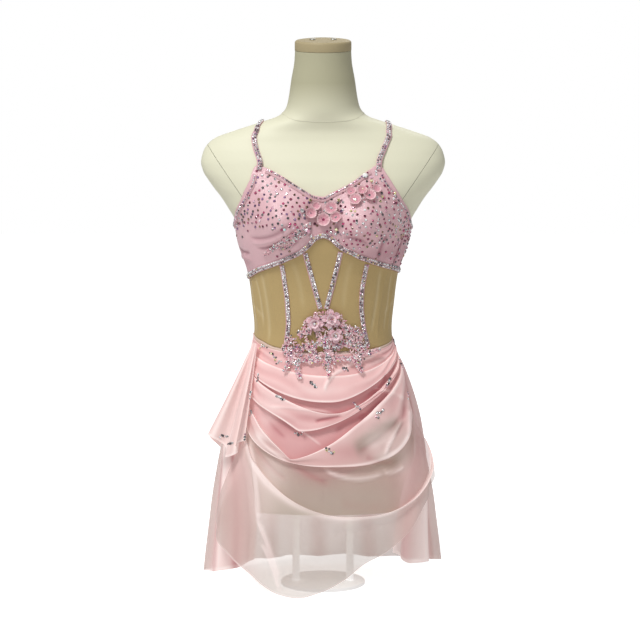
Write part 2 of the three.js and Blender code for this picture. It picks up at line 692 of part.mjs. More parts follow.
// The neck cap, with a rounded upper edge and two small screw heads.
const capRows = [
  { rise: capGap, shrink: 0 },
  { rise: 12.5, shrink: 0 },
  { rise: 15.4, shrink: 1 },
  { rise: 16.6, shrink: 3.4 },
  { rise: 17, shrink: 8 },
];
const neckRing = (angle, { rise, shrink }) => {
  const base = torsoSkin(angle, neckTop);
  const inward = new THREE.Vector3(-base.x, -(base.y - torsoAt(neckTop).lean), 0).normalize();
  return base.addScaledVector(inward, shrink + 0.7).add(new THREE.Vector3(0, 0, rise));
};
addPiece("form_neck_cap", ringStack(capRows, neckRing, 24), materials.form);
const screwHead = [
  [0, 0],
  [5, 0],
  [4.4, 1.6],
  [2.5, 2.4],
  [0, 2.6],
].map(([r, z]) => new THREE.Vector2(r, z));
for (const [name, across] of [
  ["form_cap_screw_left", -17],
  ["form_cap_screw_right", 17],
]) {
  const head = new THREE.LatheGeometry(screwHead, 8);
  head.rotateX(Math.PI / 2).rotateX(Math.atan(neckTilt.slope));
  const leanBack = torsoAt(neckTop).lean;
  head.translate(across, leanBack, neckTop + capRows.at(-1).rise - neckTilt.slope * 0.5 + 0.4);
  addPiece(name, head, materials.metal);
}

// The stand: two rods up into the thighs and a round foot plate.
const plate = new THREE.CylinderGeometry(plateRadius, plateRadius, plateThick, 36);
plate.rotateX(Math.PI / 2).translate(0, 0, plateThick / 2);
addPiece("form_foot_plate", plate, materials.metal);
for (const side of [-1, 1]) {
  const height = stumpBottom - plateThick - 2 * seamGap;
  const rod = new THREE.CylinderGeometry(rodRadius, rodRadius, height, 12);
  rod.rotateX(Math.PI / 2).translate(side * rodSpread, 0, plateThick + seamGap + height / 2);
  addPiece(side < 0 ? "form_rod_left" : "form_rod_right", rod, materials.metal);
}

// The bodice and the band that closes it at the back.
const bodiceColumns = bodiceRows
  .flatMap(({ angle }, i, all) => (i ? [(all[i - 1].angle + angle) / 2, angle] : [angle]))
  .map((angle) => (angle + sideSeam) / (2 * sideSeam));
addPiece(
  "bodice_front",
  torsoPanel({
    from: -sideSeam,
    to: sideSeam,
    top: (angle) => bodiceAt(angle).top,
    bottom: (angle) => bodiceAt(angle).bottom,
    lift: clothInset,
    thick: bodiceThick,
    columns: bodiceColumns,
    rows: [0, 0.1, 0.24, 0.4, 0.58, 0.74, 0.88, 1],
  }),
  materials.bodice,
);
const seamTurn = 0.25; // degrees each back panel starts behind the side seam
const backFrom = sideSeam + seamTurn;
const backTo = 360 - sideSeam - seamTurn;
addPiece(
  "bodice_back",
  torsoPanel({
    from: backFrom,
    to: backTo,
    top: (angle) => backBandAt(angle).top,
    bottom: (angle) => backBandAt(angle).bottom,
    lift: clothInset,
    thick: bodiceThick,
    columns: even(20),
    rows: even(3),
  }),
  materials.bodice,
);

// The nude mesh midriff.
addPiece(
  "midriff_front",
  torsoPanel({
    from: -sideSeam,
    to: sideSeam,
    top: (angle) => bodiceAt(angle).bottom - seamGap,
    bottom: (angle) => waistSeamAt(angle) + seamGap,
    lift: clothInset,
    thick: meshThick,
    columns: bodiceColumns,
    rows: [0, 0.1, 0.24, 0.44, 0.72, 1],
  }),
  materials.mesh,
);
addPiece(
  "midriff_back",
  torsoPanel({
    from: backFrom,
    to: backTo,
    top: (angle) => backBandAt(angle).bottom - seamGap,
    bottom: (angle) => waistSeamAt(angle) + seamGap,
    lift: clothInset,
    thick: meshThick,
    columns: even(20),
    rows: even(3),
  }),
  materials.mesh,
);

// The trunks under the skirt: front, back and the gusset between the thighs.
addPiece(
  "trunks_front",
  torsoPanel({
    from: -sideSeam,
    to: sideSeam,
    top: waistSeamAt,
    bottom: (angle) => legLineAt(Math.abs(angle)),
    lift: clothInset,
    thick: trunksThick,
    columns: even(20),
    rows: even(6),
  }),
  materials.trunks,
);
addPiece(
  "trunks_back",
  torsoPanel({
    from: backFrom,
    to: backTo,
    top: waistSeamAt,
    bottom: (angle) => legLineAt(Math.min(angle, 360 - angle)),
    lift: clothInset,
    thick: trunksThick,
    columns: even(20),
    rows: even(6),
  }),
  materials.trunks,
);
const gussetLength = torsoSkin(180, crotchHeight).y - torsoSkin(0, crotchHeight).y + 2;
const gusset = new THREE.BoxGeometry(gussetWidth, gussetLength, gussetThick);
gusset.translate(
  0,
  (torsoSkin(180, crotchHeight).y + torsoSkin(0, crotchHeight).y) / 2,
  crotchHeight - 2 * seamGap - gussetThick / 2,
);
addPiece("trunks_gusset", gusset, materials.trunks);

// Trims sewn on the bodice's edges.
const trimOnBodice = clothInset + bodiceThick + trimLift;
const leftPoint = -30;
const rightPoint = 25;
const edgeInset = trimWidth / 2 + 0.3;
const edgeTrim = (from, to, edge) => (share) => {
  const angle = mix(from, to, share);
  return { angle, height: edge(angle), lift: trimOnBodice };
};
const underbust = (angle) => bodiceAt(angle).bottom + edgeInset;
const neckline = (angle) => bodiceAt(angle).top - edgeInset - 1.2;
addPiece(
  "underbust_trim",
  torsoBand(edgeTrim(-sideSeam, sideSeam, underbust), {
    steps: 44,
    width: trimWidth,
    thick: trimThick,
  }),
  materials.trim,
);
addPiece(
  "neckline_trim",
  torsoBand(edgeTrim(leftPoint + 4, rightPoint - 3.4, neckline), {
    steps: 22,
    width: trimWidth - 1,
    thick: trimThick,
  }),
  materials.trim,
);
const armholeLine = {
  armhole_trim_left: [
    { angle: -31.5, height: 683 },
    { angle: -35, height: 666 },
    { angle: -42, height: 648 },
    { angle: -53, height: 629 },
    { angle: -70, height: 609 },
    { angle: -87, height: 597.5 },
  ],
  armhole_trim_right: [
    { angle: 27, height: 683 },
    { angle: 30, height: 671 },
    { angle: 38, height: 651 },
    { angle: 51, height: 629 },
    { angle: 71, height: 605.5 },
    { angle: 87, height: 594.5 },
  ],
};
for (const [name, rows] of Object.entries(armholeLine)) {
  const lineAt = along(rows);
  const placeAt = (share) => ({ ...lineAt(share), lift: trimOnBodice });
  addPiece(
    name,
    torsoBand(placeAt, { steps: 13, width: trimWidth - 1, thick: trimThick }),
    materials.trim,
  );
}

// The bands across the midriff, which start just under the bodice trim.
for (const [name, rows] of Object.entries(midriffBands)) {
  const lineAt = along(rows);
  const lift = clothInset + meshThick + trimLift;
  const placeAt = (share) => ({ ...lineAt(share), lift });
  addPiece(name, torsoBand(placeAt, { steps: 10, width: strapWidth, thick: trimThick }), materials.trim);
}

// The shoulder straps.
for (const [name, rows] of [
  ["shoulder_strap_left", leftStrapRows],
  ["shoulder_strap_right", rightStrapRows],
]) {
  addPiece(
    name,
    torsoBand(along(rows), { steps: 30, width: strapWidth, thick: trimThick }),
    materials.trim,
  );
}

// A swag's lip: its height at a share of the width.
function lipHeight(row, share) {
  const { left, low, right, at, corner, leftBow, rightBow } = row;
  const [edge, span, bow] =
    share < at ? [left, at, leftBow] : [right, 1 - at, rightBow];
  const away = Math.abs(share - at) / span;
  const rounded = (x) => Math.sqrt(x * x + corner * corner) - corner;
  const soft = rounded(away) / rounded(1);
  return low + (edge - low) * soft ** bow;
}

// Both skirt panels are sewn on at the waist, just clear of the trunks.
const skirtSeat = clothInset + trunksThick + 2 * seamGap + sheerThick / 2;

// The front drape: swags hang over each other down to the hips, and a loose apron falls below.
const tuck = 0.16; // share of a swag that turns back under the lip above it
function drapeMiddle(share, down) {
  const swags = swagRows.length - 1;
  const place = Math.min(down * (swags + 1), swags + 1);
  const upper = Math.min(swags, Math.floor(place));
  const inside = place - upper;
  const calm = Math.min(1, 9 * share, 9 * (1 - share)) ** 0.6; // folds flatten into the side seams
  const topHeight = lipHeight(swagRows[upper], share);
  const topDepth = swagRows[upper].depth * calm;
  let [height, stand] = [0, 0];
  if (upper < swags) {
    const lowHeight = lipHeight(swagRows[upper + 1], share);
    const lowDepth = swagRows[upper + 1].depth * calm;
    if (inside < tuck && upper > 0) {
      const turn = inside / tuck;
      height = topHeight + 0.25 * topDepth * Math.sin(turn * Math.PI * 0.5);
      stand = topDepth * (1 - 0.85 * ease(turn));
    } else {
      const start = upper > 0 ? tuck : 0;
      const fall = (inside - start) / (1 - start);
      const from = upper > 0 ? topHeight + 0.25 * topDepth : topHeight;
      height = mix(from, lowHeight, fall);
      stand = mix(0.15 * topDepth, lowDepth, Math.sin((fall * Math.PI) / 2) ** 1.2);
    }
  } else {
    const turn = clamp01(inside / (tuck * 0.5));
    height = mix(topHeight, hemAt(share), inside);
    stand = topDepth * (1 - 0.7 * ease(turn));
    for (const { share: middle, wide, deep } of apronFolds)
      stand += deep * ease(inside) * Math.exp(-(((share - middle) / wide) ** 2));
  }
  const section = drapeAt(height);
  const angle = mix(section.left, section.right, share);
  const { x, y } = onSection({ ...section, back: section.front, square: 2.1 }, angle);
  const outward = new THREE.Vector3(x / section.halfWidth, y / section.front, 0).normalize();
  const hanging = new THREE.Vector3(x, y, height).addScaledVector(outward, stand);
  const sewn = torso(angle, height, skirtSeat);
  return sewn.lerp(hanging, ease(place));
}
const drapeDown = [0];
swagRows.forEach((_, swag) => {
  const steps = [tuck, 0.58, 1];
  if (swag === 0) steps.splice(0, 3, 0.5, 1);
  if (swag === swagRows.length - 1) steps.splice(0, 3, 0.08, 0.36, 0.68, 1);
  steps.forEach((step) => drapeDown.push((swag + step) / swagRows.length));
});
addPiece("skirt_front_drape", clothWall(drapeMiddle, even(28), drapeDown, sheerThick), materials.sheer);

// The back skirt: one flared panel round the back, with soft flutes that open towards the hem.
function backSkirtMiddle(share, down) {
  const level = (angle) => mix(waistSeamAt(angle) - 1, backHemAt(angle), down);
  let height = mix(waistSeamAt(180), backHemAt(180), down);
  let angle = 0;
  for (let pass = 0; pass < 3; pass += 1) {
    const { left, right } = backSkirtAt(height);
    angle = mix(right, 360 + left, share);
    height = level(angle);
  }
  const section = backSkirtAt(height);
  const { x, y } = onSection({ ...section, square: 2.1 }, angle);
  const opening = clamp01((backFlutes.startHeight - height) / backFlutes.startHeight) ** 1.2;
  const wave = Math.cos(share * backFlutes.count * 2 * Math.PI + 0.6 * Math.sin(share * 9));
  const stand = backFlutes.deep * opening * wave;
  const outward = new THREE.Vector3(x / section.halfWidth, y / section.back, 0).normalize();
  const hanging = new THREE.Vector3(x, y, height).addScaledVector(outward, stand);
  return torso(angle, height, skirtSeat).lerp(hanging, ease(down / 0.12));
}
addPiece(
  "skirt_back",
  clothWall(backSkirtMiddle, even(backFlutes.count * 4), [0, 0.12, 0.28, 0.46, 0.64, 0.82, 1], sheerThick),
  materials.sheer,
);

// The cascade at the left side seam.
const cascadeAt = sections(cascadeRows, "share");
function cascadeMiddle(share, down) {
  const { topX, topY, hemX, hemY, hemHeight } = cascadeAt(share);
  const opening = down ** 1.1;
  const belly = 5 * Math.sin(Math.PI * down);
  return new THREE.Vector3(
    mix(topX, hemX, mix(down, opening, 0.5)),
    mix(topY, hemY, mix(down ** 0.85, opening, 0.5)) - belly,
    mix(cascadeTop, hemHeight, down),
  );
}
addPiece("side_cascade", clothWall(cascadeMiddle, even(24), even(6), sheerThick), materials.sheer);

// Lace stands just off whatever cloth lies under it: the torso's own panels or the drape.
const onFront = (across, height, lift) => torso(angleAcross(across, height), height, lift);
const drapeFace = even(70).flatMap((u) => even(140).map((v) => drapeMiddle(u, v)));
const drapeNear = 7;
function onDrape(across, height, lift) {
  const place = onFront(across, height, lift);
  const under = drapeFace.filter((p) => Math.hypot(p.x - across, p.z - height) < drapeNear);
  const face = Math.min(...under.map((p) => p.y), Infinity);
  place.y = Math.min(place.y, face - sheerThick / 2 - laceGap - (lift - laceLift));
  return place;
}

// One leaf: a pointed oval plate that follows the cloth, thicker along its middle.
function leaf({ across, height, long, wide, turn }, placeAt, lift) {
  const outline = 6;
  const direction = radians(turn);
  const placed = (alongLeaf, side) => [
    across + alongLeaf * Math.cos(direction) - side * Math.sin(direction),
    height + alongLeaf * Math.sin(direction) + side * Math.cos(direction),
  ];
  const positions = [];
  for (const face of [0, 1]) {
    const [cx, cz] = placed(0, 0);
    positions.push(placeAt(cx, cz, lift + face * leafThick * 1.3));
    for (let i = 0; i < outline; i += 1) {
      const [c, s] = [Math.cos((i * 2 * Math.PI) / outline), Math.sin((i * 2 * Math.PI) / outline)];
      const [px, pz] = placed(long * c, wide * s * (1 - 0.25 * c ** 2));
      positions.push(placeAt(px, pz, lift + face * leafThick));
    }
  }
  const triangles = [];
  const top = outline + 1;
  for (let i = 0; i < outline; i += 1) {
    const [a, b] = [1 + i, 1 + ((i + 1) % outline)];
    triangles.push([0, a, b], [top, top + b, top + a]);
    triangles.push([a, top + a, top + b], [a, top + b, b]);
  }
  return solidFrom(closedGeometry(positions, triangles));
}

// A thin closed dish on the torso: lobeAt gives its reach and how far it cups at each angle.
function dish({ across, height, lift }, { radius, count, rings, lobeAt }) {
  const centre = onFront(across, height, lift);
  const normal = onFront(across, height, lift + 1).sub(centre).normalize();
  const side = new THREE.Vector3(0, 0, 1).cross(normal).normalize();
  const upward = normal.clone().cross(side);
  const place = (r, angle, rise) =>
    centre
      .clone()
      .addScaledVector(side, r * Math.cos(angle))
      .addScaledVector(upward, r * Math.sin(angle))
      .addScaledVector(normal, rise);
  const positions = [];
  for (const face of [0, 1]) {
    positions.push(place(0, 0, face * petalThick));
    for (const ring of rings)
      for (let i = 0; i < count; i += 1) {
        const angle = (i * 2 * Math.PI) / count;
        const { reach, cup } = lobeAt(angle);
        const rise = cup * radius * ring ** 2 + face * petalThick;
        positions.push(place(radius * ring * mix(1, reach, ring), angle, rise));
      }
  }
  const top = 1 + rings.length * count;
  const triangles = [];
  for (let i = 0; i < count; i += 1) {
    const next = (i + 1) % count;
    triangles.push([0, 1 + i, 1 + next], [top, top + 1 + next, top + 1 + i]);
    for (let ring = 0; ring + 1 < rings.length; ring += 1) {
      const [a, b] = [1 + ring * count + i, 1 + ring * count + next];
      triangles.push([a, a + count, b + count], [a, b + count, b]);
      triangles.push([top + a, top + b + count, top + a + count], [top + a, top + b, top + b + count]);
    }
    const [a, b] = [1 + (rings.length - 1) * count + i, 1 + (rings.length - 1) * count + next];
    triangles.push([a, top + a, top + b], [a, top + b, b]);
  }
  return closedGeometry(positions, triangles);
}

// A cluster of lace: its leaves, and the cupped petals that stand on them, joined as one piece.
function lace(name, { leaves, petals = [], placeAt = onFront, lift }) {
  const cups = petals.map((row) =>
    dish({ ...row, lift: lift + leafThick * 0.6 }, { ...petalForm, radius: row.radius }),
  );
  const pieces = [...leaves.map((row) => leaf(row, placeAt, lift)), ...cups.map(solidFrom)];
  const joined = pieces.reduce((all, piece) => all.add(piece));
  addPiece(name, geometryFrom(joined), materials.lace);
}
const petalForm = { count: 10, rings: [0.45, 1], lobeAt: () => ({ reach: 1, cup: 0.3 }) };
lace("waist_lace", { leaves: waistLeaves, placeAt: onDrape, lift: laceLift });
const lift = clothInset + bodiceThick + 1.1;
lace("bodice_lace_left", { leaves: bodiceLeavesLeft, lift });
lace("bodice_flowers_centre", { leaves: bodiceLeavesCentre, petals: petalsCentre, lift });
lace("bodice_flowers_right", { leaves: bodiceLeavesRight, petals: petalsRight, lift });

// The five-petalled flowers at the waist.
for (const [name, row] of Object.entries(flowers)) {
  const lobeAt = (angle) => {
    const lobe = Math.abs(Math.cos((5 * angle) / 2 + radians(row.turn))) ** 0.6;
    return { reach: 0.58 + 0.42 * lobe, cup: 0.3 * lobe };
  };
  const form = { radius: row.radius, count: 20, rings: [0.55, 1], lobeAt };
  addPiece(name, dish(row, form), materials.lace);
}

export default dress;
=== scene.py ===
import math

import bpy
import numpy as np
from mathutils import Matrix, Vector


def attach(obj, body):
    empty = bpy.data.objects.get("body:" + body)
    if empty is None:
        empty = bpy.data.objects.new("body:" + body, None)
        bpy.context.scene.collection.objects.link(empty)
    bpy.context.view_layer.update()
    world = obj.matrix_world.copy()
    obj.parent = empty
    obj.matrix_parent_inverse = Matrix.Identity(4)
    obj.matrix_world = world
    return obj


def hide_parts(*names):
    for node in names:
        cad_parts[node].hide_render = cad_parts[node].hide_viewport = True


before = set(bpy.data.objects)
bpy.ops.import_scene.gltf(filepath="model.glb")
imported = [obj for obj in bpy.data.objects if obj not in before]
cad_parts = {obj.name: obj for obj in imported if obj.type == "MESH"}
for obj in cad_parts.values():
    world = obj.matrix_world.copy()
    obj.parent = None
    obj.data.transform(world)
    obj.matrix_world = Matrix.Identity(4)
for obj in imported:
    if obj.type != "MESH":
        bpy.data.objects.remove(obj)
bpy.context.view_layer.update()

scaleToMetres = 0.001
rng = np.random.default_rng(11)


def table(columns, rows):
    data = np.array(rows, float).T
    return dict(zip(columns.split(), data))


def readColumn(x, y, at):
    # a smooth curve through the points, which never overshoots them
    slopes = np.diff(y) / np.diff(x)
    bend = slopes[:-1] * slopes[1:]
    total = np.where(bend > 0, slopes[:-1] + slopes[1:], 1)
    inner = np.where(bend > 0, 2 * bend / total, 0)
    tangent = np.concatenate([slopes[:1], inner, slopes[-1:]])
    at = np.clip(np.asarray(at, float), x[0], x[-1])
    i = np.clip(np.searchsorted(x, at, side="right") - 1, 0, len(x) - 2)
    span = x[i + 1] - x[i]
    t = (at - x[i]) / span
    t2, t3 = t * t, t * t * t
    start = (2 * t3 - 3 * t2 + 1) * y[i] + (t3 - 2 * t2 + t) * span * tangent[i]
    return start + (3 * t2 - 2 * t3) * y[i + 1] + (t3 - t2) * span * tangent[i + 1]


def read(rows, by, at):
    return {name: readColumn(rows[by], rows[name], at) for name in rows if name != by}


def mix(a, b, share):
    return a + (b - a) * share


def ease(x):
    t = np.clip(x, 0, 1)
    return t * t * (3 - 2 * t)


def bump(x, middle, wide):
    return np.exp(-(((x - middle) / wide) ** 2))


def points(x, y, z):
    return np.stack(np.broadcast_arrays(x, y, z), -1).astype(float)


def unit(v):
    return v / np.maximum(np.linalg.norm(v, axis=-1, keepdims=True), 1e-9)


# The torso: half width, depth before and behind the side line, squareness, and lean to the back.
torsoRows = table("height halfWidth front back square lean", [
    (130, 143, 80, 92, 2.2, 0), (160, 147, 84, 98, 2.2, 0), (200, 152, 90, 106, 2.2, 0),
    (240, 154, 95, 112, 2.25, 0), (280, 150, 95, 110, 2.25, 0), (320, 141, 92, 101, 2.2, 0),
    (360, 128, 87, 88, 2.2, 0), (400, 115, 82, 75, 2.15, 0), (430, 112, 81, 70, 2.1, 0),
    (475, 116, 83, 71, 2.15, 0), (521, 122, 88, 77, 2.2, 0), (574, 139, 98, 87, 2.25, 0),
    (604, 144, 100, 91, 2.3, 0), (628, 157, 97, 92, 2.4, 1), (645, 168, 94, 92, 2.45, 2),
    (659, 179, 91, 91, 2.5, 3), (673, 189, 88, 90, 2.5, 4), (686, 197, 84, 88, 2.5, 5),
    (702, 201, 79, 86, 2.5, 6), (720, 197, 71, 81, 2.5, 6), (732, 190, 66, 78, 2.4, 6),
    (743, 176, 62, 74, 2.3, 5), (754, 146, 60, 68, 2.2, 4), (768, 103, 62, 64, 2.1, 2),
    (779, 72, 63, 62, 2, 0), (792, 61, 61, 58, 2, -3), (808, 57, 58, 54, 2, -5),
    (835, 53, 54, 50, 2, -8), (868, 47.5, 50, 47, 2, -11), (902, 46, 48, 46, 2, -14),
])
bust = {"apart": 70, "height": 608, "forward": 26, "wide": 40, "above": 45, "below": 37.5}
neckTilt = {"start": 800, "end": 875, "slope": math.tan(math.radians(6))}
sideSeam = 88
seamGap = 0.3
clothInset = 0.3
bodiceThick, meshThick, knitThick = 1.8, 1.0, 1.3
backInset = 0.25


def onSection(section, angle, square=None):
    s, c = np.sin(np.radians(angle)), np.cos(np.radians(angle))
    power = section["square"] if square is None else square
    reach = (np.abs(s) ** power + np.abs(c) ** power) ** (-1 / power)
    depth = np.where(c > 0, section["front"], section.get("back", section["front"]))
    return section["halfWidth"] * reach * s, -depth * reach * c


def bustForward(x, height):
    fall = ((height - bust["height"]) / np.where(height > bust["height"], bust["above"], bust["below"])) ** 2
    cups = [np.exp(-(((x - side * bust["apart"]) / bust["wide"]) ** 2) - fall) for side in (-1, 1)]
    return bust["forward"] * sum(cups)


def torsoSkin(angle, height, fullness=1):
    angle, height = np.broadcast_arrays(np.asarray(angle, float), np.asarray(height, float))
    section = read(torsoRows, "height", height)
    x, y = onSection(section, angle)
    facing = np.cos(np.radians(angle))
    forward = np.where(facing > 0, bustForward(x, height) * np.minimum(1, facing * 2.2), 0)
    tilt = neckTilt["slope"] * ease((height - neckTilt["start"]) / (neckTilt["end"] - neckTilt["start"]))
    return points(x, y + section["lean"] - fullness * forward, height + tilt * y)


def torsoNormal(angle, height, fullness=1):
    across = torsoSkin(angle + 0.6, height, fullness) - torsoSkin(angle - 0.6, height, fullness)
    upward = torsoSkin(angle, height + 2, fullness) - torsoSkin(angle, height - 2, fullness)
    return unit(np.cross(across, upward))


def torso(angle, height, lift, fullness=1):
    angle, height = np.asarray(angle, float), np.asarray(height, float)
    normal = torsoNormal(angle, height, fullness)
    return torsoSkin(angle, height, fullness) + normal * np.asarray(lift, float)[..., None]


def angleAcross(across, height):
    across, height = np.broadcast_arrays(np.asarray(across, float), np.asarray(height, float))
    low, high = np.full(across.shape, -89.0), np.full(across.shape, 89.0)
    for _ in range(24):
        middle = (low + high) / 2
        less = torsoSkin(middle, height)[..., 0] < across
        low, high = np.where(less, middle, low), np.where(less, high, middle)
    return (low + high) / 2


def onFront(across, height, lift):
    return torso(angleAcross(across, height), height, lift)


# Meshes. Every one is made from arrays of points in millimetres.
def addMesh(name, co, faces, material, smooth=True, values=None):
    mesh = bpy.data.meshes.new(name)
    mesh.from_pydata((np.asarray(co) * scaleToMetres).tolist(), [], faces)
    mesh.polygons.foreach_set("use_smooth", np.full(len(mesh.polygons), smooth))
    for key, data in (values or {}).items():
        layer = mesh.attributes.new(key, "FLOAT", "POINT")
        layer.data.foreach_set("value", np.asarray(data, np.float32).ravel())
    mesh.update()
    piece = bpy.data.objects.new(name, mesh)
    bpy.context.scene.collection.objects.link(piece)
    mesh.materials.append(material)
    return piece


def wear(piece, slot, *nodes):
    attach(piece, "root")
    if nodes:
        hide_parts(*nodes)


def gridFaces(rows, columns, closed=False, start=0, flip=False):
    index = np.arange(rows * columns).reshape(rows, columns) + start
    if closed:
        index = np.hstack([index, index[:, :1]])
    quads = np.stack([index[:-1, :-1], index[:-1, 1:], index[1:, 1:], index[1:, :-1]], -1).reshape(-1, 4)
    return (quads[:, ::-1] if flip else quads).tolist()


def gridNormals(co):
    across = np.gradient(co, axis=1)
    down = np.gradient(co, axis=0)
    return unit(np.cross(down, across))


def shell(top, bottom):
    # a closed piece between two grids of points
    rows, columns = top.shape[:2]
    count = rows * columns
    faces = gridFaces(rows, columns) + gridFaces(rows, columns, start=count, flip=True)
    index = np.arange(count).reshape(rows, columns)
    ring = np.concatenate([index[0], index[1:, -1], index[-1, -2::-1], index[-2:0:-1, 0]])
    after = np.roll(ring, -1)
    faces += np.stack([after, ring, ring + count, after + count], -1).tolist()
    return np.concatenate([top.reshape(-1, 3), bottom.reshape(-1, 3)]), faces


def wall(co, thick):
    # a closed wall round the middle surface co[row, column]
    normal = gridNormals(co) * thick / 2
    return shell(co + normal, co - normal)


def ringStack(co):
    # a closed stack of rings co[ring, place], capped at both ends
    rings, around = co.shape[:2]
    flat = co.reshape(-1, 3)
    faces = gridFaces(rings, around, closed=True)
    faces.append(list(range(around))[::-1])
    faces.append([(rings - 1) * around + i for i in range(around)])
    return flat, faces


def creases(x, z, rows):
    # placed folds: each a soft trough or ridge along a bowed line in front view
    total = np.zeros(np.broadcast(x, z).shape)
    for x0, z0, x1, z1, bow, wide, deep in rows:
        length = math.hypot(x1 - x0, z1 - z0)
        ux, uz = (x1 - x0) / length, (z1 - z0) / length
        along = ((x - x0) * ux + (z - z0) * uz) / length
        side = (x - x0) * -uz + (z - z0) * ux - bow * 4 * along * (1 - along)
        fade = ease((along + 0.08) / 0.2) * ease((1.08 - along) / 0.25)
        total += deep * fade * np.exp(-((side / wide) ** 2))
    return total


# Materials
def newMaterial(name):
    material = bpy.data.materials.new(name)
    material.use_nodes = True
    tree = material.node_tree
    return material, tree, tree.nodes["Principled BSDF"]


def setInputs(tree, node, inputs):
    for key, value in inputs.items():
        if isinstance(value, bpy.types.NodeSocket):
            tree.links.new(value, node.inputs[key])
        else:
            node.inputs[key].default_value = value
    return node


def addNode(tree, kind, inputs=None, **settings):
    node = tree.nodes.new("ShaderNode" + kind)
    for key, value in settings.items():
        setattr(node, key, value)
    return setInputs(tree, node, inputs or {})


def newGroup(name, inputs, outputs):
    group = bpy.data.node_groups.new(name, "ShaderNodeTree")
    for label, kind, value in inputs:
        socket = group.interface.new_socket(name=label, in_out="INPUT", socket_type="NodeSocket" + kind)
        if value is not None:
            socket.default_value = value
    for label, kind in outputs:
        group.interface.new_socket(name=label, in_out="OUTPUT", socket_type="NodeSocket" + kind)
    return group, group.nodes.new("NodeGroupInput"), group.nodes.new("NodeGroupOutput")


def colourDriftGroup():
    # slow cloudy change of tone, and a finer fleck
    group, start, end = newGroup(
        "colourDrift",
        [
            ("Color", "Color", (1, 1, 1, 1)), ("Scale", "Float", 12.0),
            ("Drift", "Float", 0.08), ("Fleck", "Float", 0.03),
        ],
        [("Color", "Color")],
    )
    place = addNode(group, "TexCoord")
    cloud = addNode(group, "TexNoise", {
        "Vector": place.outputs["Object"], "Scale": start.outputs["Scale"], "Detail": 3.0,
    })
    fleck = addNode(group, "TexNoise", {"Vector": place.outputs["Object"], "Scale": 900.0, "Detail": 1.0})
    low = addNode(group, "Math", {0: cloud.outputs["Fac"], 1: 0.5}, operation="SUBTRACT")
    lowPart = addNode(group, "Math", {0: low.outputs[0], 1: start.outputs["Drift"]}, operation="MULTIPLY")
    high = addNode(group, "Math", {0: fleck.outputs["Fac"], 1: 0.5}, operation="SUBTRACT")
    highPart = addNode(group, "Math", {0: high.outputs[0], 1: start.outputs["Fleck"]}, operation="MULTIPLY")
    both = addNode(group, "Math", {0: lowPart.outputs[0], 1: highPart.outputs[0]}, operation="ADD")
    value = addNode(group, "Math", {0: both.outputs[0], 1: 1.0}, operation="ADD")
    turned = addNode(group, "HueSaturation", {"Color": start.outputs["Color"], "Value": value.outputs[0]})
    group.links.new(turned.outputs["Color"], end.inputs["Color"])
    return group


def clothGrainGroup():
    # two crossing sets of yarns with a little unevenness, as a height
    group, start, end = newGroup(
        "clothGrain", [("Yarn", "Float", 0.0006), ("Uneven", "Float", 0.4)], [("Height", "Float")]
    )
    place = addNode(group, "TexCoord")
    turns = addNode(group, "Math", {0: 2 * math.pi, 1: start.outputs["Yarn"]}, operation="DIVIDE")
    scaled = addNode(group, "VectorMath", {0: place.outputs["Object"]}, operation="SCALE")
    group.links.new(turns.outputs[0], scaled.inputs["Scale"])
    parts = addNode(group, "SeparateXYZ", {0: scaled.outputs[0]})
    level = addNode(group, "Math", {0: parts.outputs["X"], 1: parts.outputs["Y"]}, operation="ADD")
    warp = addNode(group, "Math", {0: level.outputs[0]}, operation="SINE")
    weft = addNode(group, "Math", {0: parts.outputs["Z"]}, operation="SINE")
    crossed = addNode(group, "Math", {0: warp.outputs[0], 1: weft.outputs[0]}, operation="MULTIPLY")
    uneven = addNode(group, "TexNoise", {"Vector": place.outputs["Object"], "Scale": 260.0, "Detail": 2.0})
    share = addNode(
        group, "Math", {0: uneven.outputs["Fac"], 1: start.outputs["Uneven"]}, operation="MULTIPLY"
    )
    both = addNode(group, "Math", {0: crossed.outputs[0], 1: share.outputs[0]}, operation="ADD")
    group.links.new(both.outputs[0], end.inputs["Height"])
    return group


groups = {"colourDrift": colourDriftGroup(), "clothGrain": clothGrainGroup()}


def placeGroup(tree, name, inputs):
    node = tree.nodes.new("ShaderNodeGroup")
    node.node_tree = groups[name]
    return setInputs(tree, node, inputs)


def readValue(tree, name):
    return addNode(tree, "Attribute", attribute_name=name).outputs["Fac"]


def clothMaterial(name, look):
    material, tree, shader = newMaterial(name)
    drift = placeGroup(tree, "colourDrift", {
        "Color": (*look["colour"], 1), "Scale": look["driftScale"],
        "Drift": look["drift"], "Fleck": look["fleck"],
    })
    colour = drift.outputs["Color"]
    # the deep value blends the colour towards the shade colour: painted shade in folds of satin and knit, a
    # painted highlight in folds of the mesh, and the given tint on lace and petals
    if "shade" in look:
        deep = readValue(tree, "deep")
        blend = addNode(tree, "Mix", {0: deep, 6: colour, 7: (*look["shade"], 1)}, data_type="RGBA")
        colour = blend.outputs[2]
    tree.links.new(colour, shader.inputs["Base Color"])
    shader.inputs["Roughness"].default_value = look["roughness"]
    shader.inputs["Sheen Weight"].default_value = look["sheen"]
    shader.inputs["Sheen Roughness"].default_value = 0.4
    shader.inputs["Specular IOR Level"].default_value = look["specular"]
    grain = placeGroup(tree, "clothGrain", {"Yarn": look["yarn"], "Uneven": 0.6})
    relief = addNode(tree, "Bump", {
        "Height": grain.outputs["Height"], "Strength": look["relief"], "Distance": 0.0002,
    })
    tree.links.new(relief.outputs["Normal"], shader.inputs["Normal"])
    return material


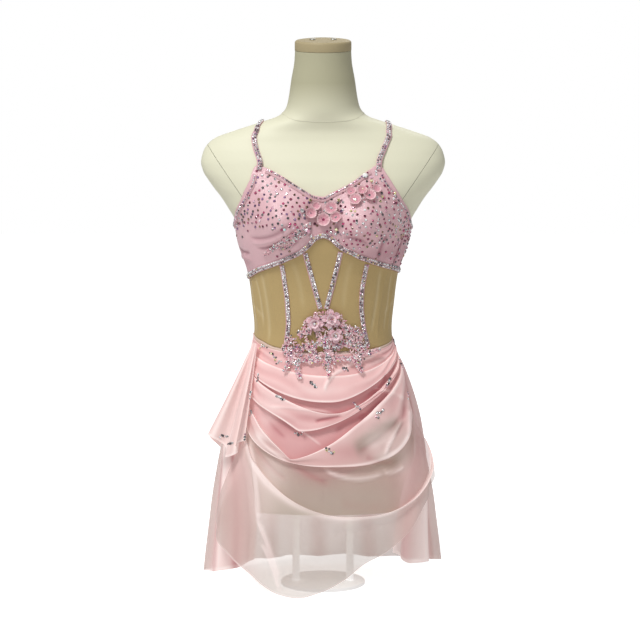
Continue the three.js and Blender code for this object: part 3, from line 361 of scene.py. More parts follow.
looks = {
    "bodiceSatin": {
        "colour": (0.755, 0.465, 0.5), "shade": (0.4, 0.16, 0.2),
        "driftScale": 40, "drift": 0.16, "fleck": 0.2,
        "roughness": 0.33, "sheen": 0.1, "specular": 0.75, "yarn": 0.0007, "relief": 0.3,
    },
    "powerMesh": {
        "colour": (0.5, 0.365, 0.165), "shade": (0.72, 0.6, 0.36),
        "driftScale": 14, "drift": 0.12, "fleck": 0.12,
        "roughness": 0.75, "sheen": 0.15, "specular": 0.25, "yarn": 0.0009, "relief": 0.3,
    },
    "trunksKnit": {
        "colour": (0.74, 0.56, 0.47), "shade": (0.55, 0.33, 0.28),
        "driftScale": 18, "drift": 0.08, "fleck": 0.06,
        "roughness": 0.7, "sheen": 0.2, "specular": 0.3, "yarn": 0.0008, "relief": 0.3,
    },
    "stoneTrim": {
        "colour": (0.66, 0.4, 0.43), "driftScale": 60, "drift": 0.15, "fleck": 0.1,
        "roughness": 0.45, "sheen": 0.2, "specular": 0.5, "yarn": 0.0008, "relief": 0.4,
    },
    "laceThread": {
        "colour": (0.72, 0.31, 0.38), "shade": (1.0, 0.82, 0.8),
        "driftScale": 160, "drift": 0.3, "fleck": 0.3,
        "roughness": 0.36, "sheen": 0.15, "specular": 0.7, "yarn": 0.001, "relief": 0.6,
    },
}
materials = {name: clothMaterial(name, look) for name, look in looks.items()}


def formMaterial(name, colour, neckShadeColour):
    # the shell is painted darker and yellower up the neck: painted shade on the neck's upright faces, which
    # the light from above reaches less
    material, tree, shader = newMaterial(name)
    drift = placeGroup(tree, "colourDrift", {
        "Color": (*colour, 1), "Scale": 7.0, "Drift": 0.04, "Fleck": 0.03,
    })
    parts = addNode(tree, "SeparateXYZ", {0: addNode(tree, "TexCoord").outputs["Object"]})
    risen = addNode(tree, "MapRange", {"Value": parts.outputs["Z"], "From Min": 0.765, "From Max": 0.83})
    neckShaded = addNode(
        tree, "Mix", {0: risen.outputs["Result"], 6: drift.outputs["Color"], 7: (*neckShadeColour, 1)}, data_type="RGBA"
    )
    tree.links.new(neckShaded.outputs[2], shader.inputs["Base Color"])
    shader.inputs["Roughness"].default_value = 0.55
    shader.inputs["Specular IOR Level"].default_value = 0.35
    place = addNode(tree, "TexCoord")
    cast = addNode(tree, "TexNoise", {"Vector": place.outputs["Object"], "Scale": 420.0, "Detail": 3.0})
    relief = addNode(tree, "Bump", {"Height": cast.outputs["Fac"], "Strength": 0.12, "Distance": 0.0003})
    tree.links.new(relief.outputs["Normal"], shader.inputs["Normal"])
    return material


def metalMaterial(name, colour, roughness, metallic):
    material, tree, shader = newMaterial(name)
    drift = placeGroup(tree, "colourDrift", {
        "Color": (*colour, 1), "Scale": 20.0, "Drift": 0.05, "Fleck": 0.03,
    })
    tree.links.new(drift.outputs["Color"], shader.inputs["Base Color"])
    shader.inputs["Metallic"].default_value = metallic
    place = addNode(tree, "TexCoord")
    smear = addNode(tree, "TexNoise", {"Vector": place.outputs["Object"], "Scale": 60.0, "Detail": 3.0})
    spread = addNode(tree, "MapRange", {
        "Value": smear.outputs["Fac"], "To Min": roughness - 0.06, "To Max": roughness + 0.08,
    })
    tree.links.new(spread.outputs["Result"], shader.inputs["Roughness"])
    return material


def sheerMaterial():
    # layers is 1 where many layers of net lie together and 0 for a single one, deep is 1 inside a fold,
    # where the inside colour is painted shade, and edge is 1 on a fold's lip, lighter there: partly the
    # doubled net, partly painted highlight
    look = {
        "single": (0.46, 0.39, 0.345, 1), "many": (0.74, 0.45, 0.44, 1), "inside": (0.46, 0.18, 0.19, 1),
        "lip": (0.9, 0.75, 0.72, 1), "clear": 0.53, "dense": 0.985,
    }
    material, tree, shader = newMaterial("sheerNet")
    layers, deep, edge = (readValue(tree, name) for name in ("layers", "deep", "edge"))
    base = addNode(tree, "Mix", {0: layers, 6: look["single"], 7: look["many"]}, data_type="RGBA")
    shaded = addNode(tree, "Mix", {0: deep, 6: base.outputs[2], 7: look["inside"]}, data_type="RGBA")
    lipped = addNode(tree, "Mix", {0: edge, 6: shaded.outputs[2], 7: look["lip"]}, data_type="RGBA")
    drift = placeGroup(tree, "colourDrift", {
        "Color": lipped.outputs[2], "Scale": 16.0, "Drift": 0.07, "Fleck": 0.05,
    })
    tree.links.new(drift.outputs["Color"], shader.inputs["Base Color"])
    opacity = addNode(tree, "MapRange", {"Value": layers, "To Min": look["clear"], "To Max": look["dense"]})
    firm = addNode(tree, "Math", {0: edge, 1: 0.2}, operation="MULTIPLY")
    more = addNode(
        tree, "Math", {0: opacity.outputs["Result"], 1: firm.outputs[0]}, operation="ADD", use_clamp=True
    )
    tree.links.new(more.outputs[0], shader.inputs["Alpha"])
    # a painted glow that stands in for light scattering through the net from behind and softens its shadows
    tree.links.new(drift.outputs["Color"], shader.inputs["Emission Color"])
    shader.inputs["Emission Strength"].default_value = 0.2
    shader.inputs["Roughness"].default_value = 0.62
    shader.inputs["Specular IOR Level"].default_value = 0.1
    shader.inputs["Sheen Weight"].default_value = 0.15
    grain = placeGroup(tree, "clothGrain", {"Yarn": 0.0008, "Uneven": 0.5})
    relief = addNode(tree, "Bump", {"Height": grain.outputs["Height"], "Strength": 0.15, "Distance": 0.0002})
    tree.links.new(relief.outputs["Normal"], shader.inputs["Normal"])
    return material


materials["formShell"] = formMaterial("formShell", (0.765, 0.75, 0.575), (0.45, 0.43, 0.29))
# the neck cap's own browner colour, made darker still as painted shade on its upright faces
materials["capShell"] = formMaterial("capShell", (0.4, 0.33, 0.19), (0.4, 0.33, 0.19))
materials["stand"] = metalMaterial("standPaint", (0.97, 0.97, 0.97), 0.5, 0.0)
# the stand glows faintly white so that it reads pale behind the net: painted light, as the stand is no lamp
standGlowShader = materials["stand"].node_tree.nodes["Principled BSDF"]
standGlowShader.inputs["Emission Color"].default_value = (1, 1, 1, 1)
standGlowShader.inputs["Emission Strength"].default_value = 0.32
materials["screw"] = metalMaterial("screwSteel", (0.56, 0.55, 0.5), 0.4, 0.85)
materials["sheerNet"] = sheerMaterial()
print("materials made")

# The form
form = {
    "around": 160, "above": -1.1, "below": -2.2, "from": 380, "to": 440, "fullness": 0.85,
    "bottom": 130, "neckTop": 883, "levels": 190,
}
armPlane = {"across": 191, "height": 734, "slope": 35, "sawCut": 0.6, "reach": 300}
thighGap = [(12.5, 192), (12, 188.9), (1, 188.4)]
thighGroove = {"half": 0.5, "top": 188, "bottom": 125, "deep": 3}
formCrease = 32


def formSkin():
    turn = np.arange(form["around"]) * 360 / form["around"]
    levels = np.linspace(form["bottom"], form["neckTop"], form["levels"])
    inset = mix(form["below"], form["above"], ease((levels - form["from"]) / (form["to"] - form["from"])))
    angle, level = np.meshgrid(turn, levels)
    return torso(angle, level, np.repeat(inset[:, None], form["around"], 1), form["fullness"])


def cutter(name, co, faces):
    return addMesh(name, co, faces, materials["formShell"], smooth=False)


def armBlock(side, inwards):
    reach = armPlane["reach"]
    corners = np.array([(x, y, z) for x in (0, 1) for y in (-0.5, 0.5) for z in (-0.5, 0.5)]) * reach
    corners[:, 0] -= inwards
    slope = math.radians(armPlane["slope"])
    x = corners[:, 0] * math.cos(slope) + corners[:, 2] * math.sin(slope) + armPlane["across"]
    z = -corners[:, 0] * math.sin(slope) + corners[:, 2] * math.cos(slope) + armPlane["height"]
    box = [[0, 1, 3, 2], [4, 6, 7, 5], [0, 4, 5, 1], [2, 3, 7, 6], [0, 2, 6, 4], [1, 5, 7, 3]]
    co = np.stack([side * x, side * corners[:, 1], z], -1)
    return cutter("armBlock", co, box)


def thighPrism(side, near, far):
    outline = [(-x, z) for x, z in side] + [(x, z) for x, z in side[::-1]]
    count = len(outline)
    co = [(x, y, z) for y in (near, far) for x, z in outline]
    faces = [list(range(count)), list(range(count, 2 * count))[::-1]]
    faces += [[(i + 1) % count, i, i + count, (i + 1) % count + count] for i in range(count)]
    return cutter("thighPrism", np.array(co, float), faces)


def cut(piece, tool, how):
    modifier = piece.modifiers.new("cut", "BOOLEAN")
    modifier.operation, modifier.object, modifier.solver = how, tool, "EXACT"
    bpy.context.view_layer.update()
    made = bpy.data.meshes.new_from_object(piece.evaluated_get(bpy.context.evaluated_depsgraph_get()))
    piece.modifiers.clear()
    piece.data = made
    bpy.data.objects.remove(tool)


def smoothed(piece, degrees=40):
    piece.data.polygons.foreach_set("use_smooth", np.ones(len(piece.data.polygons), bool))
    piece.data.set_sharp_from_angle(angle=math.radians(degrees))
    return piece


def makeForm():
    co, faces = ringStack(formSkin())
    for side, name in ((-1, "form_arm_plate_left"), (1, "form_arm_plate_right")):
        plate = addMesh("armPlate" + ("Left" if side < 0 else "Right"), co, faces, materials["formShell"])
        cut(plate, armBlock(side, 0), "INTERSECT")
        wear(smoothed(plate, formCrease), "form_shell", name)
    body = addMesh("formBody", co, faces, materials["formShell"])
    cut(body, thighPrism(thighGap, -150, 150), "DIFFERENCE")
    front, back = (torsoSkin(a, 150.0)[1] for a in (0.0, 180.0))
    groove = [(thighGroove["half"], thighGroove["top"]), (thighGroove["half"], thighGroove["bottom"])]
    cut(body, thighPrism(groove, -150, front + thighGroove["deep"]), "DIFFERENCE")
    cut(body, thighPrism(groove, back - thighGroove["deep"], 150), "DIFFERENCE")
    for side in (-1, 1):
        cut(body, armBlock(side, armPlane["sawCut"]), "DIFFERENCE")
    wear(smoothed(body, formCrease), "form_shell", "form_torso")


def lathe(name, profile, material, around=64):
    turn = np.arange(around) * 2 * math.pi / around
    rings = [points(r * np.cos(turn), r * np.sin(turn), np.full(around, float(z))) for r, z in profile]
    co, faces = ringStack(np.array(rings))
    return addMesh(name, co, faces, material)


neckCap = {"around": 96, "inset": 0.7, "screwRise": 17.35, "screwApart": 0.017}
rodApart = 0.045


def makeNeckCap():
    rows = table("rise shrink", [
        (0.5, 0.2), (1.1, 0), (12.2, 0), (13.6, 0.25), (14.8, 0.8), (15.7, 1.6), (16.4, 2.8), (16.8, 4.4),
        (17, 7), (17.1, 14),
    ])
    count = neckCap["around"]
    around = np.arange(count) * 360 / count
    base = torsoSkin(around, np.full(count, float(form["neckTop"])))
    lean = read(torsoRows, "height", np.array([form["neckTop"]]))["lean"][0]
    inward = unit(np.stack([-base[:, 0], lean - base[:, 1], np.zeros(count)], -1))
    rings = [
        base + inward * (shrink + neckCap["inset"]) + [0, 0, rise]
        for rise, shrink in zip(rows["rise"], rows["shrink"])
    ]
    co, faces = ringStack(np.array(rings))
    wear(smoothed(addMesh("neckCap", co, faces, materials["capShell"])), "form_shell", "form_neck_cap")
    for side, name in ((-1, "form_cap_screw_left"), (1, "form_cap_screw_right")):
        head = lathe("capScrew" + ("Left" if side < 0 else "Right"), [
            (4.9, 0.1), (5, 0.5), (4.8, 1.1), (4.3, 1.7), (3.4, 2.1), (2.3, 2.4), (2.1, 1.5), (1.9, 1.5),
        ], materials["screw"], 24)
        top = (form["neckTop"] + neckCap["screwRise"]) * scaleToMetres
        head.location = (side * neckCap["screwApart"], lean * scaleToMetres, top)
        head.rotation_euler = (math.atan(neckTilt["slope"]), 0, 0)
        wear(smoothed(head), "screws", name)


def makeStand():
    plate = lathe("footPlate", [
        (69, 0), (69.6, 0.3), (70, 0.9), (70, 4.6), (69.6, 5.5), (68.8, 6), (20, 6),
    ], materials["stand"], 96)
    wear(smoothed(plate), "stand", "form_foot_plate")
    for side, name in ((-1, "form_rod_left"), (1, "form_rod_right")):
        rod = lathe("rod" + ("Left" if side < 0 else "Right"), [
            (5.7, 6.3), (6, 6.6), (6, 20), (6, 129), (5.8, 129.6),
        ], materials["stand"], 32)
        rod.location.x = side * rodApart
        wear(smoothed(rod), "stand", name)


seamCord = {"lift": 0.05, "out": 0.35, "high": 0.55}


def makeFormSeam():
    # the seam round the base of the neck dips at the front and climbs over the shoulders
    rows = table("angle height", [
        (-180, 786), (-130, 785), (-90, 783), (-60, 779), (-40, 774), (-18, 769), (0, 767.5),
        (18, 769), (40, 774), (60, 779), (90, 783), (130, 785), (180, 786),
    ])
    angle = np.linspace(-180, 180, 241)[:-1]
    height = readColumn(rows["angle"], rows["height"], angle)
    turn = np.arange(6) * math.pi / 3
    centre = torso(angle, height, form["above"] + seamCord["lift"])
    outward, upward = torsoNormal(angle, height) * seamCord["out"], np.array([0, 0, seamCord["high"]])
    rings = [centre + outward * math.cos(t) + upward * math.sin(t) for t in turn]
    co = np.array(rings).transpose(1, 0, 2)
    flat = co.reshape(-1, 3)
    index = np.arange(len(flat)).reshape(len(angle), 6)
    right, up = np.roll(index, -1, 0), np.roll(index, -1, 1)
    faces = np.stack([index, right, np.roll(right, -1, 1), up], -1).reshape(-1, 4).tolist()
    wear(addMesh("formSeam", flat, faces, materials["seamLine"]), "form_shell")


materials["seamLine"] = metalMaterial("seamLine", (0.6, 0.58, 0.45), 0.6, 0.0)
makeForm()
makeNeckCap()
makeStand()
makeFormSeam()
print("form made")

# Cloth panels on the torso
bodiceEdges = table("angle top bottom", [
    (-88, 603, 511), (-70, 614, 517), (-52, 636, 528), (-42, 656, 534), (-35, 676, 539), (-30, 698, 543),
    (-25, 693, 548), (-20, 683, 553), (-15, 671, 559), (-10, 660, 569), (-5, 651, 581), (0, 649, 585),
    (5, 656, 581), (10, 664, 570), (15, 674, 562), (20, 688, 557), (25, 699, 551), (30, 682, 547),
    (38, 659, 541), (50, 636, 534), (72, 610, 526), (88, 600, 521),
])
backBandEdges = table("angle top bottom", [
    (88, 600, 521), (110, 594, 519), (150, 588, 515), (180, 586, 513), (210, 589, 512), (250, 597, 511),
    (272, 603, 511),
])
waistSeam = table("angle height", [
    (-88, 420), (-59, 412), (-42, 404.5), (-20, 400), (0, 398.5), (22, 399.5), (40, 401), (59, 405.5),
    (88, 413), (130, 420), (180, 424), (230, 424), (272, 420),
])
legLine = table("angle height", [
    (0, 191.7), (8, 191.7), (12, 196), (18, 205), (28, 222), (40, 245), (55, 268), (70, 283), (88, 290),
    (104, 278), (122, 242), (142, 208), (158, 195), (173, 191.7), (180, 191.7),
])
panelMillimetresPerDegree = 2.1


def edgeOf(rows, key="height"):
    return lambda angle: readColumn(rows["angle"], rows[key], angle)


bodiceTop, bodiceBottom = edgeOf(bodiceEdges, "top"), edgeOf(bodiceEdges, "bottom")
backTop, backBottom = edgeOf(backBandEdges, "top"), edgeOf(backBandEdges, "bottom")
waistAt = edgeOf(waistSeam)


def legAt(angle):
    return readColumn(legLine["angle"], legLine["height"], np.minimum(np.abs(angle), 360 - np.abs(angle)))


def panel(name, spec, top, bottom, material, slot, node):
    angle, v = np.meshgrid(
        np.linspace(spec["start"], spec["end"], spec["columns"]), np.linspace(0, 1, spec["rows"])
    )
    height = mix(top(angle), bottom(angle), v)
    fold = creases(angle * panelMillimetresPerDegree, height, [
        (a0 * panelMillimetresPerDegree, z0, a1 * panelMillimetresPerDegree, z1, bow, wide, deep)
        for a0, z0, a1, z1, bow, wide, deep in spec["folds"]
    ])
    # folds die away at the sewn edges
    calm = ease(v / 0.06) * ease((1 - v) / 0.06)
    fold = fold * mix(0.25, 1, calm)
    co = torso(angle, height, clothInset + spec["thick"] / 2 + fold)
    flat, faces = wall(co, spec["thick"])
    # how far inside a fold each point lies: painted shade in the folds of satin and knit and a painted
    # highlight in those of the mesh
    shade = 0.75 * np.clip(-fold / 1.6, 0, 1)
    # painted shade at the listed places
    for a, z, wide, tall, amount in spec.get("shaded", ()):
        shade = shade + amount * bump(angle, a, wide) * bump(height, z, tall)
    piece = addMesh(name, flat, faces, material, values={"deep": np.tile(np.clip(shade, 0, 1).ravel(), 2)})
    wear(piece, slot, node)


# Each fold is start angle and height, end angle and height, bow, width and depth.
bodiceFrontPanel = {
    # painted shade: angle, height, reach each way and amount
    "shaded": [
        (44, 556, 24, 16, 0.5), (70, 556, 16, 26, 0.35), (-72, 540, 16, 16, 0.3), (0, 612, 6, 20, 0.3),
        (20, 588, 14, 12, 0.2),
    ],
    "start": -sideSeam, "end": sideSeam, "columns": 270, "rows": 74, "thick": bodiceThick,
    "folds": [
        (-16, 582, -34, 566, 5, 2.4, -1.6), (-17, 588, -42, 560, 6, 2.2, 1.4),
        (-18, 594, -47, 566, 7, 2.6, -1.6), (-20, 600, -50, 574, 8, 2.4, 1.3),
        (-21, 606, -52, 583, 8, 3.0, -1.3), (-84, 566, -58, 558, -3, 3.0, -1.8),
        (-86, 548, -60, 545, 3, 3.4, 1.6), (-78, 520, -74, 560, 3, 2.8, -1.6),
        (-70, 522, -67, 556, 3, 2.8, 1.5), (40, 552, 44, 590, 3, 3.0, -1.8),
        (50, 544, 54, 586, 4, 3.2, 1.9), (60, 538, 62, 578, 3, 3.0, -2.0),
        (70, 534, 71, 570, 2, 3.0, 1.7), (78, 532, 79, 572, 3, 3.4, -1.7),
        (14, 585, 30, 574, 4, 2.6, -1.3), (12, 596, 34, 590, 5, 3.0, 0.9),
        (-8, 590, -8, 640, 2, 3.0, -1.1), (8, 592, 8, 642, -2, 3.0, -1.1),
    ],
}
bodiceBackPanel = {
    "start": sideSeam + backInset, "end": 360 - sideSeam - backInset,
    "columns": 170, "rows": 40, "thick": bodiceThick,
    "folds": [
        (92, 560, 130, 552, 4, 3.5, -0.8), (96, 540, 140, 545, -4, 3.5, 0.6),
        (150, 560, 215, 552, 5, 4, -0.7), (165, 575, 200, 572, 3, 3, 0.5),
        (225, 548, 266, 556, -4, 3.5, -0.8), (230, 572, 268, 580, 3, 3.2, 0.6),
        (120, 530, 175, 526, 3, 3, -0.5), (188, 532, 240, 528, -3, 3, -0.6),
    ],
}
midriffFrontPanel = {
    "start": -sideSeam, "end": sideSeam, "columns": 200, "rows": 56, "thick": meshThick,
    "folds": [
        (-78, 508, -76, 425, 3, 3.2, -1.2), (-70, 512, -67, 430, -3, 3.5, 1.0),
        (-62, 516, -58, 440, 4, 3, -0.9), (-52, 524, -50, 412, 3, 4, -0.8),
        (-44, 526, -40, 440, -3, 3.2, 0.8), (46, 528, 43, 430, 3, 3.4, -0.9),
        (54, 526, 50, 414, -3, 3.4, 0.9), (62, 522, 60, 430, 3, 3, -1.0),
        (71, 518, 68, 420, -4, 3.4, 1.0), (79, 514, 77, 424, 3, 3, -1.2),
        (-84, 470, -56, 452, 4, 4, -0.6), (84, 474, 58, 458, -4, 4, -0.6),
        (-22, 545, -16, 470, 2, 4, -0.4), (20, 545, 16, 470, -2, 4, -0.4),
    ],
}
midriffBackPanel = {
    "start": sideSeam + backInset, "end": 360 - sideSeam - backInset,
    "columns": 150, "rows": 44, "thick": meshThick,
    "folds": [
        (96, 508, 100, 428, 3, 3.4, -0.7), (108, 506, 112, 440, -3, 3.4, 0.6),
        (124, 504, 126, 432, 4, 3.4, -0.6), (146, 500, 148, 446, 3, 4, 0.5),
        (168, 470, 196, 466, 5, 5, -0.9), (160, 452, 204, 450, -5, 4.5, -0.7),
        (212, 502, 210, 440, 3, 4, 0.5), (234, 504, 230, 432, -3, 3.4, -0.7),
        (250, 506, 246, 430, 3, 3.4, 0.6), (263, 508, 260, 430, -3, 3.2, -0.7),
    ],
}
trunksFrontPanel = {
    "start": -sideSeam, "end": sideSeam, "columns": 150, "rows": 60, "thick": knitThick,
    "folds": [
        (-6, 215, -34, 262, 6, 4, -0.7), (6, 215, 34, 262, -6, 4, -0.7), (-4, 225, -22, 300, 8, 5, 0.5),
        (4, 225, 24, 296, -8, 5, 0.5), (-80, 310, -50, 320, 5, 5, -0.6), (80, 306, 52, 318, 5, 5, -0.6),
        (-86, 380, -60, 372, -4, 5, -0.5), (86, 376, 60, 368, -4, 5, -0.5),
    ],
}
trunksBackPanel = {
    "start": sideSeam + backInset, "end": 360 - sideSeam - backInset,
    "columns": 150, "rows": 60, "thick": knitThick,
    "folds": [
        (176, 215, 150, 250, 6, 5, -0.8), (184, 215, 210, 250, -6, 5, -0.8), (175, 232, 140, 268, 9, 5, 0.5),
        (186, 232, 222, 268, -9, 5, 0.5), (100, 330, 140, 318, 6, 6, -0.6), (262, 330, 220, 318, -6, 6, -0.6),
        (180, 400, 180, 260, 2, 5, -0.6),
    ],
}


def makePanels():
    panel("bodiceFront", bodiceFrontPanel, bodiceTop, bodiceBottom, materials["bodiceSatin"],
          "bodice_satin", "bodice_front")
    panel("bodiceBack", bodiceBackPanel, backTop, backBottom, materials["bodiceSatin"],
          "bodice_satin", "bodice_back")
    panel("midriffFront", midriffFrontPanel,
          lambda a: bodiceBottom(a) - seamGap, lambda a: waistAt(a) + seamGap,
          materials["powerMesh"], "power_mesh", "midriff_front")
    panel("midriffBack", midriffBackPanel,
          lambda a: backBottom(a) - seamGap, lambda a: waistAt(a) + seamGap,
          materials["powerMesh"], "power_mesh", "midriff_back")
    panel("trunksFront", trunksFrontPanel, waistAt, legAt, materials["trunksKnit"],
          "trunks_knit", "trunks_front")
    panel("trunksBack", trunksBackPanel, waistAt, legAt, materials["trunksKnit"],
          "trunks_knit", "trunks_back")


gusset = {"width": 22, "height": 192, "thick": 1.4, "sag": 0.6}


def makeGusset():
    front, back = (torsoSkin(a, gusset["height"])[1] for a in (0.0, 180.0))
    x, y = np.meshgrid(np.linspace(-0.5, 0.5, 14) * gusset["width"], np.linspace(front - 1, back + 1, 60))
    drop = gusset["sag"] * (1 - (2 * x / gusset["width"]) ** 2)
    z = gusset["height"] - 2 * seamGap - gusset["thick"] / 2 - drop * 0.5
    flat, faces = wall(points(x, y, z), gusset["thick"])
    shade = np.zeros(len(flat))
    piece = addMesh("trunksGusset", flat, faces, materials["trunksKnit"], values={"deep": shade})
    wear(piece, "trunks_knit", "trunks_gusset")


makePanels()
makeGusset()
print("panels made")

# The front drape
sheerThick = 1.2
skirtSeat = clothInset + knitThick + 2 * seamGap + sheerThick / 2
drapeSections = table("height halfWidth front left right", [
    (5, 184, 150, -72, 90), (50, 186, 148, -72, 90), (100, 187, 143, -70, 90), (150, 187, 134, -65, 89),
    (200, 184, 124, -56, 86), (255, 172, 114, -49, 72), (285, 161, 108, -49, 66), (308, 154, 105, -51, 66),
    (340, 143, 100, -56, 69), (365, 133, 96, -62, 73), (395, 120.5, 89, -75, 81), (425, 115.5, 85, -83, 87),
])
# A fold's lip: height at the left side, at its lowest place and at the right side, where it is lowest,
# how soft that corner is, how bowed each branch is, how far it stands out, how much painted shade the pocket
# beside it gets, and whether that pocket opens above the lip (1) or lies beneath it (0).
swags = table("left low right at corner leftBow rightBow depth dark opens", [
    (416, 396, 411, 0.5, 0.6, 1.6, 1.6, 0, 0, 0), (398, 362, 405, 0.5, 0.35, 1.3, 1.3, 3, 0.2, 1),
    (372, 320, 403, 0.47, 0.15, 1.6, 1.2, 8, 0.9, 0), (370, 303, 397, 0.48, 0.1, 1.3, 1.25, 9, 0.9, 1),
    (329, 274, 392, 0.315, 0.06, 0.8, 1.42, 9, 0.75, 0), (313, 231, 380, 0.27, 0.03, 0.9, 1.15, 11, 0.65, 1),
    (281, 218, 300, 0.46, 0.1, 2.2, 1.7, 8, 0.3, 0), (272, 140, 252, 0.53, 0.25, 1.3, 1.45, 10, 0.15, 1),
])
hem = table("share height", [
    (0, 120), (0.08, 84), (0.165, 51), (0.25, 26), (0.31, 14), (0.37, 11), (0.43, 18), (0.51, 38), (0.58, 64),
    (0.64, 79), (0.71, 107), (0.76, 134), (0.84, 156), (0.93, 176), (1, 192),
])
apronFolds = table("share wide deep", [
    (0.07, 0.035, 9), (0.2, 0.045, -7), (0.36, 0.05, 7), (0.55, 0.07, -6), (0.74, 0.05, 7), (0.9, 0.04, -7),
])
drape = {
    "columns": 260, "rowsInTuck": 7, "rowsInBand": 26, "tuck": 0.16, "square": 2.1,
    "waves": 0.7, "fans": [2, 2, 0, 2, 0, 2, 0, 0], "fanDeep": 1.2,
    "least": [0.97, 0.97, 0.97, 0.96, 0.96, 0.62, 0, 0], "most": [1, 1, 1, 1, 1, 0.85, 0.3, 0.5],
    "layersAt": table("height layers", [
        (0, 0.0), (60, 0.02), (130, 0.08), (170, 0.14), (205, 0.24), (235, 0.38), (262, 0.62),
        (290, 0.86), (320, 0.97), (425, 1.0),
    ]),
}
# Placed folds of the drape in front view: start and end across and height, bow, width and depth.
drapeFolds = [
    (-34, 275, -4, 252, 0, 1.8, 1.2), (-84, 312, 16, 302, 3, 2.4, 1.4), (-12, 290, 30, 298, 1, 2.6, -2.4),
    (29, 371, 2, 340, -5, 3.0, 3.0), (102, 362, 74, 330, 6, 3.2, -1.2), (29, 371, 84, 390, 4, 3.0, 1.8),
    (4, 213, 98, 206, -11, 3.6, 2.2), (98, 206, 131, 213, -3, 3.6, 1.6),
    (134, 290, 99, 234, -4, 3.2, 2.2), (60, 243, 126, 292, -5, 3.4, -1.6), (84, 340, 132, 320, 3, 3, 1.4),
    (-110, 268, -40, 218, -5, 3.0, 1.4), (134, 309, 118, 262, 4, 3.4, -1.6),
    (60, 290, 100, 318, 3, 5, -1.2), (20, 275, 70, 300, 2, 5, -1.4), (-98, 300, -60, 262, -3, 4, -1.4),
    (-112, 250, -60, 196, -5, 4, -1.6), (140, 300, 137, 262, 2, 3, 1.6), (-98, 94, -70, 20, 3, 3.5, 2.2),
    (-118, 250, -104, 128, 3, 4, 3.0), (-104, 128, -70, 40, 2, 4, 2.4), (-60, 230, 10, 190, -3, 5, -1.2),
    (70, 232, 118, 222, -3, 5, -1.6), (30, 162, 95, 152, -4, 10, -0.5),
]


# Places where the net is given painted shade or painted light: across, height, reach each way, amount.
shadePlaces = [
    (-22, 297, 34, 8, 0.4), (8, 294, 16, 4, 0.35), (40, 244, 34, 14, 0.35), (-5, 200, 40, 16, 0.15),
    (120, 312, 10, 18, 0.25), (-92, 402, 26, 10, 0.05), (99, 398, 26, 12, 0.12),
    (163, 262, 14, 40, 0.3), (90, 328, 26, 14, 0.3), (-62, 284, 28, 12, 0.25),
]
lightPlaces = [
    (-84, 318, 26, 14, 0.3), (-85, 204, 26, 34, 0.45), (-95, 150, 22, 30, 0.3), (-92, 290, 16, 12, 0.3),
    (-104, 262, 14, 14, 0.5), (132, 230, 12, 40, 0.3), (100, 236, 18, 10, 0.4), (0, 340, 40, 8, 0.3),
    (96, 268, 26, 16, 0.5), (80, 252, 14, 10, 0.4),
]


def spots(places, x, z):
    total = np.zeros(x.shape)
    for across, height, wide, tall, amount in places:
        total = total + amount * bump(x, across, wide) * bump(z, height, tall)
    return total


def lipHeight(row, share):
    swag = {name: column[row] for name, column in swags.items()}
    leftward = share < swag["at"]
    edge = np.where(leftward, swag["left"], swag["right"])
    span = np.where(leftward, swag["at"], 1 - swag["at"])
    bow = np.where(leftward, swag["leftBow"], swag["rightBow"])
    corner = swag["corner"]

    def rounded(x):
        return np.sqrt(x * x + corner * corner) - corner

    soft = rounded(np.abs(share - swag["at"]) / span) / rounded(1.0)
    return swag["low"] + (edge - swag["low"]) * soft ** bow


def lipOf(row, share, calm):
    # where the cloth above a lip ends and the cloth below it starts: how high and how far out each is
    height, depth = lipHeight(row, share), swags["depth"][row] * calm
    if swags["opens"][row]:
        return {"depth": depth, "end": (height - 0.5 * depth, 0.1 * depth), "start": (height, depth)}
    return {"depth": depth, "end": (height, depth), "start": (height + 0.25 * depth, 0.15 * depth)}


def drapeSurface(share, place):
    # place counts the swags downwards; its whole part is the swag and the rest the way down it
    last = len(swags["left"]) - 1
    tuck = drape["tuck"]
    calm = np.minimum(1, np.minimum(9 * share, 9 * (1 - share))) ** 0.6
    lips = [lipOf(row, share, calm) for row in range(last + 1)]
    height, stand = np.zeros(share.shape), np.zeros(share.shape)
    for upper in range(last + 1):
        inside = place - upper
        here = (inside >= 0) & ((inside < 1) if upper < last else (inside <= 1.001))
        lip, hook = lips[upper], tuck if upper < last else tuck * 0.5
        turn = np.clip(inside / hook, 0, 1)
        fall = np.clip((inside - (hook if upper > 0 else 0)) / (1 - (hook if upper > 0 else 0)), 0, 1)
        (endHeight, endStand), (startHeight, startStand) = lip["end"], lip["start"]
        if upper < last:
            lowHeight, lowStand = lips[upper + 1]["end"]
            sway = np.where(lowStand > startStand, np.sin(fall * math.pi / 2) ** 1.2, ease(fall))
            h, s = mix(startHeight, lowHeight, fall), mix(startStand, lowStand, sway)
        else:
            h = mix(startHeight, readColumn(hem["share"], hem["height"], share), fall)
            s = mix(startStand, 0.3 * lip["depth"], ease(fall / 0.3))
            for middle, wide, deep in zip(*(apronFolds[name] for name in ("share", "wide", "deep"))):
                s = s + deep * ease(inside) * bump(share, middle, wide)
        if upper > 0:
            # the cloth turns over the lip into the pocket, or out of it
            under = inside < hook
            swing = np.sin(turn * math.pi / 2)
            h = np.where(under, mix(endHeight, startHeight, swing), h)
            s = np.where(under, mix(endStand, startStand, ease(turn)), s)
        height, stand = np.where(here, h, height), np.where(here, s, stand)
    section = read(drapeSections, "height", height)
    angle = mix(section["left"], section["right"], share)
    x, y = onSection({**section, "back": section["front"]}, angle, drape["square"])
    outward = unit(points(x / section["halfWidth"], y / section["front"], 0))
    hanging = points(x, y, height) + outward * stand[..., None]
    sewn = torso(angle, height, np.full(angle.shape, skirtSeat))
    return mix(sewn, hanging, ease(place)[..., None]), outward


def netSheet(name, co, layers, deep, edge):
    values = {"layers": layers, "deep": deep, "edge": edge}
    return addMesh(name, co.reshape(-1, 3), gridFaces(*co.shape[:2]), materials["sheerNet"], values=values)


